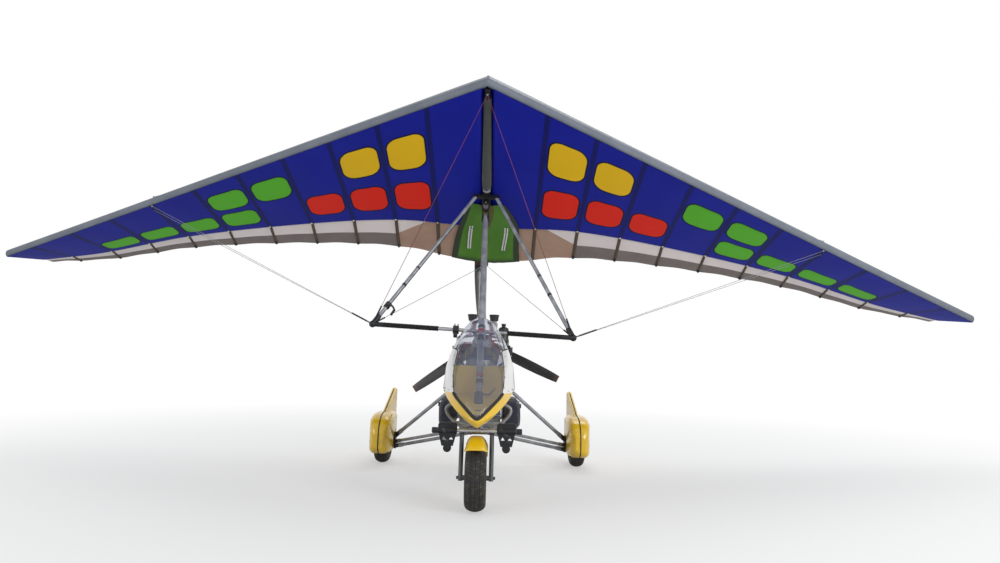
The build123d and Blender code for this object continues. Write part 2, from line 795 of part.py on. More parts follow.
case_mid_y = case_front_y + case_length / 2
case_back_y = case_front_y + case_length
case_top = crank_height + case_height / 2
barrel_rows = [  # side, distance aft of the case's front
    (-1, 82),
    (-1, 196),
    (1, 104),
    (1, 218),
]
with BuildPart() as crankcase:
    with BuildSketch(front_view(case_front_y, crank_height)):
        RectangleRounded(case_width, case_height, 30)
    extrude(amount=-case_length)
    # flange where the two halves are bolted together
    with BuildSketch(front_view(case_front_y + 6, crank_height)):
        RectangleRounded(14, case_height + 2 * case_flange, 5)
    extrude(amount=-(case_length - 12))
    # webs across the top
    with BuildSketch(Plane.XY.offset(case_top - 2)):
        with Locations(*[(0, case_front_y + aft) for aft in (28, 62, 96, 204, 238, 272)]):
            Rectangle(case_width - 60, 6)
    extrude(amount=case_flange)
save(crankcase.part, "crankcase")

head_x = barrel_reach + head_length / 2
with BuildPart() as cylinders:
    for side, aft in barrel_rows:
        foot = Vector(side * (case_width / 2 + fit_gap), case_front_y + aft, crank_height + barrel_rise)
        base = Plane(origin=foot, x_dir=(0, 1, 0), z_dir=(side, 0, 0))
        reach = barrel_reach - case_width / 2
        fin_pitch = (reach - 20) / fin_count
        with BuildSketch(base):
            Circle(barrel_radius)
        extrude(amount=reach)
        for index in range(fin_count):
            with BuildSketch(base.offset(12 + index * fin_pitch)):
                RectangleRounded(2 * fin_half_width, 2 * fin_radius, 22)
            extrude(amount=fin_thickness)
        with BuildSketch(base.offset(reach)):
            RectangleRounded(head_width, 2 * head_half_height, 14)
        extrude(amount=head_length)
        # rocker cover
        with BuildSketch(base.offset(reach + head_length)):
            RectangleRounded(head_width - 16, 2 * head_half_height - 20, 26)
        extrude(amount=cover_length, taper=14)
save(cylinders.part, "cylinders")

# Gearbox: its housing round the crankshaft and the propeller's shaft.
with BuildPart() as gearbox:
    for start_y, amount, grow in ((case_back_y + fit_gap, 12, 8), (case_back_y + fit_gap, 95, 0)):
        with BuildSketch(front_view(start_y)):
            with Locations((0, crank_height)):
                Circle(78 + grow)
            with Locations((0, prop_height)):
                Circle(70 + grow)
            make_hull()
        extrude(amount=-amount)
    nose_start = Vector(0, case_back_y + 95, prop_height)
    add(rod(nose_start, nose_start + Vector(0, 40, 0), 48))
    add(rod(nose_start, Vector(0, prop_y + 30, prop_height), shaft_radius))
save(gearbox.part, "gearbox")

# Engine mount: a plate on the case and four tubes to a plate on each side of the mast.
with BuildPart() as engine_mount:
    with BuildSketch(front_view(case_front_y - fit_gap, crank_height)):
        RectangleRounded(170, 170, 20)
    extrude(amount=14)
    for side in (-1, 1):
        mast_side = Vector(side * (mast_width / 2 + fit_gap), 0, 0)
        for height in (crank_height - mount_spread, crank_height + mount_spread):
            start = Vector(side * mount_spread, case_front_y - 10, height)
            end = mast_point(height) + mast_side + Vector(side * (mount_tube_radius + 3), 0, 0)
            add(rod(start, end, mount_tube_radius))
        with BuildSketch(Plane(origin=mast_point(crank_height) + mast_side, x_dir=(0, 1, 0), z_dir=(side, 0, 0))):
            RectangleRounded(70, 2 * (mount_spread + 35), 12)
        extrude(amount=14)
save(engine_mount.part, "engine_mount")

# Two carburettors above the case, each with a manifold to the two heads of its side.
intake_z = case_top + intake_rise
body_offset = Vector(42, -40, 130 - intake_rise)
with BuildPart() as carburettors:
    for side in (-1, 1):
        flange = Vector(side * 62, case_mid_y, case_top + fit_gap)
        junction = Vector(flange.X, flange.Y, intake_z)
        body = junction + Vector(side * body_offset.X, body_offset.Y, body_offset.Z)
        add(rod(flange, junction + Vector(0, 0, 15), carburettor_radius))
        add(rod(junction, body, carburettor_radius))
        with BuildSketch(Plane.XY.offset(body.Z)):
            with Locations((body.X, body.Y)):
                RectangleRounded(66, 66, 12)
        extrude(amount=50)
        add(rod(body, body + Vector(0, 0, 68), carburettor_radius + 2))
        for row_side, aft in barrel_rows:
            if row_side == side:
                over_head = Vector(side * head_x, case_front_y + aft, intake_z)
                port = Vector(over_head.X, over_head.Y, crank_height + barrel_rise + head_half_height + fit_gap)
                with BuildLine():
                    path = FilletPolyline(junction, over_head, port, radius=36)
                with BuildSketch(Plane(origin=junction, z_dir=over_head - junction)):
                    Circle(intake_radius)
                sweep(path=path)
save(carburettors.part, "carburettors")

filter_base = intake_z + body_offset.Z + 68 + fit_gap
with BuildPart() as air_filters:
    filter_x = 62 + body_offset.X
    filter_y = case_mid_y + body_offset.Y
    for start_z, radius, height, taper in ((filter_base, filter_radius, 48, -8), (filter_base + 48, 50, 14, 20)):
        with BuildSketch(Plane.XY.offset(start_z)):
            with Locations((-filter_x, filter_y), (filter_x, filter_y)):
                Circle(radius)
        extrude(amount=height, taper=taper)
save(air_filters.part, "air_filters")

# Exhaust: a pipe from under each head to the silencer, and its tail pipe.
muffler = Vector(0, case_mid_y + 30, crank_height - muffler_drop)
with BuildPart() as exhaust:
    add(rod(muffler - across * (muffler_length / 2), muffler + across * (muffler_length / 2), muffler_radius))
    for side, aft in barrel_rows:
        top_z = crank_height + barrel_rise - head_half_height - fit_gap
        top = Vector(side * head_x, case_front_y + aft, top_z)
        bend = Vector(top.X, top.Y, muffler.Z + 40)
        target = muffler + across * side * 150
        with BuildLine():
            path = FilletPolyline(top, bend, target, radius=32)
        with BuildSketch(Plane(origin=top, x_dir=(1, 0, 0), z_dir=(0, 0, -1))):
            Circle(exhaust_radius)
        sweep(path=path)
    tail_start = muffler + across * 120
    add(rod(tail_start, tail_start + Vector(0, 140, -90), exhaust_radius + 3))
save(exhaust.part, "exhaust")

# Radiator, with open slots across both faces of its core.
radiator_front_y = rear_axle_y - 70
radiator_back_y = radiator_front_y + radiator_depth
with BuildPart() as radiator:
    with BuildSketch(front_view(radiator_front_y, radiator_height)):
        RectangleRounded(radiator_width, radiator_rise, 14)
    extrude(amount=-radiator_depth)
    slot_pitch = (radiator_rise - 24) / radiator_slots
    for y, depth in ((radiator_front_y, -8), (radiator_back_y, 8)):
        with BuildSketch(front_view(y, radiator_height)):
            with GridLocations(0, slot_pitch, 1, radiator_slots):
                Rectangle(radiator_width - 60, slot_pitch / 2)
        extrude(amount=depth, mode=Mode.SUBTRACT)
    # the block that seats on the mast
    with BuildSketch(front_view(radiator_front_y, radiator_height)):
        Rectangle(40, 60)
    extrude(amount=90)
    with BuildSketch(mast_plane):
        with Locations((0, -mast_depth / 2)):
            Rectangle(mast_width + 100, 2 * mast_depth + 2 * fit_gap)
    extrude(amount=1000, mode=Mode.SUBTRACT)
save(radiator.part, "radiator")

# Propeller

prop_plane = front_view(prop_y, prop_height)
with BuildPart() as prop_hub:
    with BuildSketch(prop_plane.offset(-32)):
        Circle(hub_disc_radius)
    extrude(amount=58)
    with BuildSketch(prop_plane.offset(-44)):
        Circle(34)
    extrude(amount=12)
    with BuildSketch(prop_plane.offset(-30)):
        Circle(shaft_radius + pin_gap)
    extrude(amount=140, mode=Mode.SUBTRACT)
save(prop_hub.part, "prop_hub")

blade_sections = [  # radius, chord, thickness, pitch angle
    (hub_disc_radius - 6, 56, 30, 40),
    (190, 92, 20, 32),
    (430, 108, 14, 21),
    (680, 98, 10, 15),
    (prop_radius, 74, 6, 12),
]
with BuildPart() as one_blade:
    for radius, chord, thick, angle in blade_sections:
        twist = (0, cos(radians(angle)), sin(radians(angle)))
        with BuildSketch(Plane(origin=(radius, 0, 0), x_dir=twist, z_dir=(1, 0, 0))):
            with BuildLine():
                ThreePointArc((-chord / 2, 0), (0, thick / 2), (chord / 2, 0))
                ThreePointArc((chord / 2, 0), (0, -thick / 2), (-chord / 2, 0))
            make_face()
    loft()
blade_solids = []
for index in range(blade_count):
    turn = Location((0, 0, 0), (0, 0, prop_phase + 360 / blade_count * index))
    turned = Location(prop_plane) * turn * one_blade.part
    blade_solids.extend((turned - prop_hub.part).solids())
save(Compound(blade_solids), "prop_blades")

# Wing: everything below is drawn in the wing's own level frame and then placed.


def place_wing(part, label):
    """Sets a finished piece of the wing in its parked attitude and writes it."""
    save(wing_place * part, label)


sail_stations = [  # distance from the keel, trailing edge y, trailing edge height, camber height
    (0, 920, 62, 235),
    (850, 812, 108, 190),
    (1800, 910, 150, 150),
    (side_station, 1200, 205, 105),
    (4200, 1580, 236, 70),
    (half_span, 1750, 250, 40),
]
double_share = 0.78
crest_share = 0.33


def edge_point(x):
    """The foremost line of the wing at this distance from the keel: y and height."""
    share = x / half_span
    return nose_y + (tip_y - nose_y) * share, keel_height + (tip_height - keel_height) * share


def sail_section(x, edge_y, edge_z, camber):
    """The corners of one rib: leading edge, crest, end of the lower skin, trailing edge."""
    lead_y, lead_z = edge_point(x)
    chord = edge_y - lead_y
    crest = (lead_y + crest_share * chord, lead_z + camber + crest_share * (edge_z - lead_z))
    join_y = lead_y + double_share * chord
    join_z = lead_z + (edge_z - lead_z) * double_share + camber * 0.30
    return lead_y + edge_inset, lead_z, crest, (join_y, join_z)


for side, label in ((-1, "sail_left"), (1, "sail_right")):
    with BuildPart() as sail:
        for x, edge_y, edge_z, camber in sail_stations:
            tube_y, tube_z, crest, join = sail_section(x, edge_y, edge_z, camber)
            top = (tube_y, tube_z + edge_radius)
            bottom = (tube_y, tube_z - edge_radius)
            with BuildSketch(side_view(side * x)):
                with BuildLine():
                    ThreePointArc(bottom, (tube_y - edge_radius, tube_z), top)
                    ThreePointArc(top, crest, join)
                    Polyline(join, (edge_y, edge_z), (edge_y, edge_z - sheet), (join[0], join[1] - sheet), bottom)
                make_face()
        loft(ruled=True)
        # room for the keel tube, open below it, and for the kingpost
        with BuildSketch(front_view(nose_y - 200, keel_height)):
            Circle(keel_radius + fit_gap)
            with Locations((0, -100)):
                Rectangle(2 * (keel_radius + fit_gap), 200)
        extrude(amount=-3000, mode=Mode.SUBTRACT)
        with BuildSketch(Plane.XY.offset(keel_height)):
            with Locations((0, kingpost_y)):
                Circle(kingpost_radius + 4)
        extrude(amount=400, mode=Mode.SUBTRACT)
    place_wing(Compound([sail.part.solids().sort_by(SortBy.VOLUME)[-1]]), label)

keel_front_y = nose_y + 50
with BuildPart() as keel_tube:
    keel_front = Vector(0, keel_front_y, keel_height)
    keel_tail = Vector(0, keel_tail_y, keel_height)
    add(rod(keel_front, keel_tail, keel_radius))
    add(rod(keel_front, keel_tail, keel_radius - keel_wall), mode=Mode.SUBTRACT)
place_wing(keel_tube.part, "keel_tube")

# The keel bracket: a saddle under the keel, two ears for the roll pin, and a spreader for the uprights.
ear_y = block_depth / 2 + fit_gap + ear_thickness / 2
with BuildPart() as keel_bracket:
    with BuildSketch(front_view(-90, keel_height - 26)):
        RectangleRounded(76, 34, 6)
    extrude(amount=-150)
    for place in (-ear_y, ear_y):
        with BuildSketch(front_view(place)):
            with Locations((0, roll_pin_height)):
                Circle(21)
            with Locations((0, keel_height - 34)):
                Rectangle(52, 20)
            make_hull()
            with Locations((0, roll_pin_height)):
                Circle(roll_pin_radius + pin_gap, mode=Mode.SUBTRACT)
        extrude(amount=ear_thickness / 2, both=True)
    with BuildSketch(front_view(bar_y - 16, upright_top_height + 16)):
        RectangleRounded(2 * upright_top + 44, 28, 6)
    extrude(amount=-32)
    keel_hole = rod(Vector(0, -200, keel_height), Vector(0, 200, keel_height), keel_radius + fit_gap)
    add(keel_hole, mode=Mode.SUBTRACT)
place_wing(keel_bracket.part, "keel_bracket")

# The hang block pitches on the hang bolt and carries the roll pin.
with BuildPart() as hang_block:
    with BuildSketch(front_view(-block_depth / 2, 16)):
        RectangleRounded(block_width, 78, 8)
    extrude(amount=-block_depth)
    pin_reach = Vector(0, ear_y + ear_thickness / 2 + 10, 0)
    roll_pin = Vector(0, 0, roll_pin_height)
    add(rod(roll_pin - pin_reach, roll_pin + pin_reach, roll_pin_radius))
    bolt_hole = rod(across * -60, across * 60, hang_bolt_radius + pin_gap)
    add(bolt_hole, mode=Mode.SUBTRACT)
save(block_place * hang_block.part, "hang_block")

# Tangs where the stays end: on the keel at the nose and the tail, and on each leading edge.
tang_reach = edge_radius + tang_radius + fit_gap
keel_tang_reach = keel_radius + tang_radius + fit_gap
tang_lean = radians(30)  # the upper tangs sit this far forward of the top
edge_tube = Vector(0, edge_point(side_station)[0] + edge_inset, edge_point(side_station)[1])
nose_tube = Vector(0, nose_y + edge_inset, keel_height)
top_offset = Vector(0, -sin(tang_lean), cos(tang_lean)) * tang_reach
tail_tube = Vector(0, keel_tail_y - 45, keel_height)
lower_tangs = {
    "nose": Vector(0, nose_y + 95, keel_height - keel_tang_reach),
    "tail": tail_tube - Vector(0, 0, keel_tang_reach),
    "left": edge_tube - across * side_station + Vector(0, 12, -tang_reach),
    "right": edge_tube + across * side_station + Vector(0, 12, -tang_reach),
}
upper_tangs = {
    "nose": nose_tube + top_offset,
    "tail": tail_tube + Vector(0, 0, keel_tang_reach),
    "left": edge_tube - across * side_station + top_offset,
    "right": edge_tube + across * side_station + top_offset,
}
lower_stay_rows = [(-1, "nose"), (-1, "tail"), (-1, "left"), (1, "nose"), (1, "tail"), (1, "right")]

# Control frame.
corner_points = {side: Vector(side * bar_half, bar_y, bar_drop) for side in (-1, 1)}
top_points = {side: Vector(side * upright_top, bar_y, upright_top_height) for side in (-1, 1)}
with BuildPart() as uprights:
    for side in (-1, 1):
        upright_axis = (top_points[side] - corner_points[side]).normalized()
        upright_foot = corner_points[side] + upright_axis * knuckle_core
        add(rod(upright_foot, top_points[side] + upright_axis * 20, upright_radius))
    split(bisect_by=Plane(origin=(0, 0, upright_top_height + 2 - fit_gap)), keep=Keep.BOTTOM)
place_wing(uprights.part, "uprights")

with BuildPart() as base_bar:
    bar_start = corner_points[-1] + across * knuckle_core
    bar_stop = corner_points[1] - across * knuckle_core
    add(rod(bar_start, bar_stop, bar_radius))
place_wing(base_bar.part, "base_bar")

with BuildPart() as corner_fittings:
    for side in (-1, 1):
        corner = corner_points[side]
        upright_axis = (top_points[side] - corner).normalized()
        with Locations(Location(corner)):
            Sphere(knuckle_radius)
        for axis, inner in ((upright_axis, upright_radius), (across * -side, bar_radius)):
            add(rod(corner, corner + axis * sleeve_length, inner + 5))
        # a swaged sleeve for each stay
        for row_side, name in lower_stay_rows:
            if row_side == side:
                stay_axis = (lower_tangs[name] - corner).normalized()
                add(rod(corner, corner + stay_axis * stay_sleeve_length, stay_sleeve_radius))
        for axis, inner in ((upright_axis, upright_radius), (across * -side, bar_radius)):
            tube_foot = corner + axis * (knuckle_core - fit_gap)
            add(rod(tube_foot, tube_foot + axis * 200, inner + fit_gap), mode=Mode.SUBTRACT)
place_wing(corner_fittings.part, "corner_fittings")

kingpost_foot = Vector(0, kingpost_y, keel_height + keel_radius + fit_gap)
kingpost_top = Vector(0, kingpost_y, keel_height + kingpost_height)
with BuildPart() as kingpost:
    add(rod(kingpost_foot, kingpost_top, kingpost_radius))
    with Locations(Location(kingpost_top)):
        Sphere(kingpost_radius + kingpost_cap)
place_wing(kingpost.part, "kingpost")

with BuildPart() as stay_tangs:
    with Locations(*list(lower_tangs.values()), *list(upper_tangs.values())):
        Sphere(tang_radius)
place_wing(stay_tangs.part, "stay_tangs")


def stay(start, end, start_reach, end_reach):
    """A taut stay between two points, short of each by what it meets there."""
    axis = (end - start).normalized()
    return rod(start + axis * (start_reach + fit_gap), end - axis * (end_reach + fit_gap), stay_radius)


with BuildPart() as lower_stays:
    for side, name in lower_stay_rows:
        add(stay(corner_points[side], lower_tangs[name], stay_sleeve_length, tang_radius))
place_wing(lower_stays.part, "lower_stays")

with BuildPart() as upper_stays:
    for tang in upper_tangs.values():
        add(stay(kingpost_top, tang, kingpost_radius + kingpost_cap, tang_radius))
place_wing(upper_stays.part, "upper_stays")

# Spats: a teardrop over each rear wheel with an upright fin on its tail.
spat_plane = side_view(track / 2, rear_axle_y)
with BuildPart() as spat_fin:
    with BuildSketch(spat_plane):
        with BuildLine():
            FilletPolyline(*spat_fin_corners, radius=24, close=True)
        make_face()
    extrude(amount=spat_fin_half, both=True)
    fillet(spat_fin.faces().filter_by(Axis.X).edges(), 12)

with BuildPart() as spat_right:
    for aft, half, low, high in spat_sections:
        middle = (track / 2, rear_axle_y + aft, (low + high) / 2)
        with BuildSketch(Plane(origin=middle, x_dir=(1, 0, 0), z_dir=(0, -1, 0))):
            RectangleRounded(2 * half, high - low, 0.6 * half)
    loft()
    add(spat_fin.part)
    # wheel well, open below
    with BuildSketch(spat_plane):
        with Locations((0, tyre_radius)):
            Circle(tyre_radius + spat_clearance)
        with Locations((0, 0)):
            Rectangle(2 * (tyre_radius + spat_clearance), 2 * tyre_radius)
    extrude(amount=rear_tyre_width / 2 + spat_clearance, both=True, mode=Mode.SUBTRACT)
    # flat seat and hole for the hub carrier
    seat_plane = Plane(origin=rear_axle + across * (track / 2 - spat_seat), x_dir=(0, 1, 0), z_dir=(-1, 0, 0))
    with BuildSketch(seat_plane):
        Circle(92)
    extrude(amount=60, mode=Mode.SUBTRACT)
    with BuildSketch(seat_plane):
        Circle(22)
    extrude(amount=-60, mode=Mode.SUBTRACT)
save(spat_right.part, "spat_right")

with BuildPart() as spat_left:
    add(mirror(spat_right.part, about=Plane.YZ))
save(spat_left.part, "spat_left")
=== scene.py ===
# %% [markdown]
# # A flex-wing microlight trike on a pale studio floor
# The frame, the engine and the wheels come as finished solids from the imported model.
# What is soft, sewn, rough or worn is made here: sailcloth, seats, bags, trim and finishes.
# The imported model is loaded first, because every piece made below is placed by it.

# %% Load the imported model
import bmesh
import bpy
from math import cos, exp, pi, radians, sin, sqrt, tan
from mathutils import Matrix, Vector, noise


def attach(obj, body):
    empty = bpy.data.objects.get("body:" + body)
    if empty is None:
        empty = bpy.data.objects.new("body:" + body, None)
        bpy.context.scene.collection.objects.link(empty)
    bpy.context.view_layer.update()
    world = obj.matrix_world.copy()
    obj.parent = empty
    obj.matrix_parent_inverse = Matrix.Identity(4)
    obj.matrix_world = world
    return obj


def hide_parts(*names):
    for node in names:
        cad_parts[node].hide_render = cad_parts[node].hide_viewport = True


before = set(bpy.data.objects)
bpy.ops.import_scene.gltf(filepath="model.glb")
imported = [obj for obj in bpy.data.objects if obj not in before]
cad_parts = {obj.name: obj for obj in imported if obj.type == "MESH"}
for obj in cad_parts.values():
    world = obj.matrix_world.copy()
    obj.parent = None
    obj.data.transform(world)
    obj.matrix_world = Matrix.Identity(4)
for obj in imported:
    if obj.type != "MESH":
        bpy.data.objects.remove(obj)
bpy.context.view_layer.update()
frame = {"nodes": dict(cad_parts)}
nodes = frame["nodes"]

# %% [markdown]
# ## Where the photographer stood
# The trike is seen from straight ahead, with the lens about a metre above the grass and tipped
# six degrees up. The camera can be aimed with a rotation, or with its own three axes.
# Axes are used, because the small lean of the picture then needs no order of turns.

# %% Camera
eye = Vector((0.074, -5.897, 1.005))
look_up, look_right, lean = radians(6.394), radians(0.688), radians(1.417)
ahead = Vector((sin(look_right) * cos(look_up), cos(look_right) * cos(look_up), sin(look_up)))
across = Vector((cos(look_right), -sin(look_right), 0))
above = across.cross(ahead)
right_axis = across * cos(lean) + above * sin(lean)
up_axis = above * cos(lean) - across * sin(lean)

camera_data = bpy.data.cameras.new("camera")
sensor_width, picture_width, focal_pixels = 36, 1000, 661.6
camera_data.sensor_width = sensor_width
camera_data.lens = focal_pixels * sensor_width / picture_width
camera_data.clip_end = 400
camera = bpy.data.objects.new("camera", camera_data)
bpy.context.scene.collection.objects.link(camera)
camera.matrix_world = Matrix.Translation(eye) @ Matrix((right_axis, up_axis, -ahead)).transposed().to_4x4()
bpy.context.scene.camera = camera
print("lens:", round(camera_data.lens, 2), "mm")

# %% [markdown]
# ## Studio
# A pale floor takes the shadow, and two large soft lamps stand ahead of the wing, one each side.
# The background could be a real wall. A world that shows white to the camera, to gloss and
# to clear plastic is simpler, and it adds no light of its own to the object.

# %% World and lamps
scene = bpy.context.scene
scene.view_settings.view_transform = "Standard"
world = bpy.data.worlds.new("studio")
scene.world = world
world.use_nodes = True
world_nodes, world_links = world.node_tree.nodes, world.node_tree.links
world_nodes.clear()
rays = world_nodes.new("ShaderNodeLightPath")
seen = world_nodes.new("ShaderNodeMath")
seen.operation = "MAXIMUM"
seen_or_gloss = world_nodes.new("ShaderNodeMath")
seen_or_gloss.operation = "MAXIMUM"
world_links.new(rays.outputs["Is Camera Ray"], seen.inputs[0])
world_links.new(rays.outputs["Is Transmission Ray"], seen.inputs[1])
world_links.new(seen.outputs[0], seen_or_gloss.inputs[0])
world_links.new(rays.outputs["Is Glossy Ray"], seen_or_gloss.inputs[1])
light_side, seen_side = world_nodes.new("ShaderNodeBackground"), world_nodes.new("ShaderNodeBackground")
light_side.inputs["Color"].default_value = (0.93, 0.96, 1.0, 1)
light_side.inputs["Strength"].default_value = 0.5
seen_side.inputs["Color"].default_value = (1, 1, 1, 1)
seen_side.inputs["Strength"].default_value = 1.0
world_mix = world_nodes.new("ShaderNodeMixShader")
world_out = world_nodes.new("ShaderNodeOutputWorld")
world_links.new(seen_or_gloss.outputs[0], world_mix.inputs[0])
world_links.new(light_side.outputs[0], world_mix.inputs[1])
world_links.new(seen_side.outputs[0], world_mix.inputs[2])
world_links.new(world_mix.outputs[0], world_out.inputs[0])


def add_softbox(name, place, target, size, watts):
    """A square area lamp at place that points at target."""
    data = bpy.data.lights.new(name, "AREA")
    data.shape = "SQUARE"
    data.size = size
    data.energy = watts
    lamp = bpy.data.objects.new(name, data)
    scene.collection.objects.link(lamp)
    aim = Vector(target) - Vector(place)
    lamp.matrix_world = Matrix.Translation(Vector(place)) @ aim.to_track_quat("-Z", "Y").to_matrix().to_4x4()
    return lamp


add_softbox("lamp_right", (6.5, -7.5, 3.6), (0, 0, 1.2), 4.0, 430)
add_softbox("lamp_left", (-7.5, -6.0, 3.2), (0, 0, 1.2), 5.0, 190)
add_softbox("lamp_top", (1.5, 3.0, 9.0), (0, 0.2, 1.0), 6.0, 330)

# %% [markdown]
# ## Node shorthand
# Every finish below is a few nodes on Blender's Principled shader: a colour that varies a little,
# a roughness that varies with it, and a small bump. These helpers only save typing.
# Colours are written as they look on a screen, from 0 to 255, and turned into the linear
# values that a shader reads.

# %% Helpers for finishes


def screen_colour(red, green, blue):
    """The linear colour of a screen colour given from 0 to 255."""
    values = []
    for part in (red, green, blue):
        share = part / 255
        values.append(share / 12.92 if share <= 0.04045 else ((share + 0.055) / 1.055) ** 2.4)
    return (*values, 1)


finishes = {}


class Finish:
    """A material in the making, kept by its name: its nodes, its shader and ways to add to them."""

    def __init__(self, name, colour, roughness=0.5, metallic=0.0, coat=0.0):
        self.material = finishes[name] = bpy.data.materials.new(name)
        self.material.use_nodes = True
        self.tree = self.material.node_tree
        self.shader = self.tree.nodes["Principled BSDF"]
        for label, value in (("Base Color", colour), ("Roughness", roughness), ("Metallic", metallic), ("Coat Weight", coat)):
            self.level(label, value)
        self.material.diffuse_color = colour

    def level(self, label, value):
        """Sets one of the shader's own values."""
        self.shader.inputs[label].default_value = value

    def node(self, kind, **values):
        """A new node with some of its own settings."""
        made = self.tree.nodes.new(kind)
        for key, value in values.items():
            setattr(made, key, value)
        return made

    def link(self, start, end):
        self.tree.links.new(start, end)

    def place(self, scale=(1, 1, 1)):
        """Object coordinates, stretched by scale."""
        source = self.node("ShaderNodeTexCoord")
        mapping = self.node("ShaderNodeMapping")
        mapping.inputs["Scale"].default_value = scale
        self.link(source.outputs["Object"], mapping.inputs["Vector"])
        return mapping.outputs["Vector"]

    def clouds(self, scale, detail=3.0, stretch=(1, 1, 1), vector=None):
        """Soft noise from 0 to 1."""
        made = self.node("ShaderNodeTexNoise")
        made.inputs["Scale"].default_value = scale
        made.inputs["Detail"].default_value = detail
        self.link(vector or self.place(stretch), made.inputs["Vector"])
        return made.outputs["Fac"]

    def put(self, value, socket):
        """Sets a socket to a plain value, or links it to another socket."""
        if isinstance(value, (int, float, tuple)):
            socket.default_value = value
        else:
            self.link(value, socket)

    def math(self, operation, first, second=None):
        made = self.node("ShaderNodeMath", operation=operation)
        self.put(first, made.inputs[0])
        if second is not None:
            self.put(second, made.inputs[1])
        return made.outputs[0]

    def ramp(self, value, start, end, low=0.0, high=1.0):
        """Value brought from start..end to low..high, smooth and held at both ends."""
        made = self.node("ShaderNodeMapRange", interpolation_type="SMOOTHSTEP")
        for key, number in (("From Min", start), ("From Max", end), ("To Min", low), ("To Max", high)):
            made.inputs[key].default_value = number
        self.link(value, made.inputs["Value"])
        return made.outputs["Result"]

    def blend(self, share, first, second):
        """A colour between first and second. Each is a colour or a socket."""
        made = self.node("ShaderNodeMix", data_type="RGBA")
        for label, value in (("Factor", share), ("A", first), ("B", second)):
            self.put(value, made.inputs[label])
        return made.outputs["Result"]

    def mixed(self, scale, detail, dark, light):
        """Two screen colours mixed by soft noise."""
        return self.blend(self.clouds(scale, detail), screen_colour(*dark), screen_colour(*light))

    def attribute(self, name):
        return self.node("ShaderNodeAttribute", attribute_name=name)

    def tint(self, socket):
        """Sends a colour to the shader."""
        self.link(socket, self.shader.inputs["Base Color"])

    def gloss(self, socket):
        """Sends a roughness to the shader."""
        self.link(socket, self.shader.inputs["Roughness"])

    def uneven(self, scale, detail, low, high):
        """A roughness that wanders between low and high."""
        self.gloss(self.ramp(self.clouds(scale, detail), 0.3, 0.7, low, high))

    def grain(self, scale, detail, strength, distance):
        """Relief of soft noise."""
        self.bump(self.clouds(scale, detail), strength, distance)

    def bump(self, height, strength, distance):
        """Adds relief. More than one can be stacked."""
        made = self.node("ShaderNodeBump")
        made.inputs["Strength"].default_value = strength
        made.inputs["Distance"].default_value = distance
        self.link(height, made.inputs["Height"])
        before = self.shader.inputs["Normal"]
        if before.links:
            self.link(before.links[0].from_socket, made.inputs["Normal"])
        self.link(made.outputs["Normal"], before)


def shade(colour, factor):
    """The same colour, lighter or darker."""
    return (*[min(1, part * factor) for part in colour[:3]], 1)


def dusty(finish, amount=0.35, reach=0.5, dust=screen_colour(122, 112, 92)):
    """Field dust: thickest near the ground and broken up by noise."""
    height = finish.node("ShaderNodeSeparateXYZ")
    finish.link(finish.place(), height.inputs[0])
    low = finish.ramp(height.outputs["Z"], 0.0, reach, 1.0, 0.0)
    patches = finish.ramp(finish.clouds(9, 6), 0.42, 0.75)
    share = finish.math("MULTIPLY", finish.math("MULTIPLY", low, patches), amount)
    current = finish.shader.inputs["Base Color"]
    source = current.links[0].from_socket if current.links else tuple(current.default_value)
    finish.tint(finish.blend(share, source, dust))


print("helpers ready")

# %% [markdown]
# ## Floor
# One wide disc. Near the trike it is a plain pale floor that takes a shadow. Away from it
# the camera sees it fade to the white of the background, so no horizon line shows. A backdrop
# that curves up would do the same, but it would stand in the way when the view goes round.

# %% Floor
bpy.ops.mesh.primitive_circle_add(vertices=96, radius=90, fill_type="NGON", location=(0, 0, 0))
floor = bpy.context.object
floor.name = "floor"
floor_finish = Finish("floor_pale", (0.82, 0.82, 0.81, 1), 0.9)
ground = floor_finish.node("ShaderNodeVectorMath", operation="LENGTH")
floor_finish.link(floor_finish.place(), ground.inputs[0])
far = floor_finish.ramp(ground.outputs["Value"], 1.6, 8.5, 0.42, 1.0)
floor_rays = floor_finish.node("ShaderNodeLightPath")
fade = floor_finish.math("MULTIPLY", far, floor_rays.outputs["Is Camera Ray"])
floor_white = floor_finish.node("ShaderNodeEmission")
floor_mix = floor_finish.node("ShaderNodeMixShader")
floor_finish.link(fade, floor_mix.inputs[0])
floor_finish.link(floor_finish.shader.outputs[0], floor_mix.inputs[1])
floor_finish.link(floor_white.outputs[0], floor_mix.inputs[2])
floor_finish.link(floor_mix.outputs[0], floor_finish.tree.nodes["Material Output"].inputs["Surface"])
floor.data.materials.append(floor_finish.material)
print("floor radius:", round(floor.dimensions.x / 2), "m")

# %% [markdown]
# ## Tubes, castings and fastenings
# The trike's tubes are anodised or painted light grey, its brackets black. Each metal has its
# own grain: drawn tube is streaked along its length, a casting is grainy all over.

# %% Metals


def grey_tube(name, dark_from=None):
    """Light grey paint on drawn tube. Where it is given, the ends beyond dark_from across are black sockets."""
    tube = Finish(name, screen_colour(140, 143, 149), 0.44, metallic=0.3)
    streaks = tube.clouds(14, 4)
    tube.tint(tube.blend(tube.ramp(streaks, 0.35, 0.7), screen_colour(126, 129, 136), screen_colour(158, 161, 166)))
    if dark_from:
        parts = tube.node("ShaderNodeSeparateXYZ")
        tube.link(tube.place(), parts.inputs[0])
        outer = tube.ramp(tube.math("ABSOLUTE", parts.outputs["X"]), dark_from, dark_from + 0.004)
        painted = tube.shader.inputs["Base Color"].links[0].from_socket
        tube.tint(tube.blend(outer, painted, screen_colour(34, 35, 38)))
    tube.uneven(60, 3, 0.34, 0.52)
    tube.grain(420, 2, 0.06, 0.0004)
    dusty(tube, 0.5, 0.7)


arm_socket_start = 0.752
grey_tube("tube_grey")
grey_tube("tube_gear", arm_socket_start)

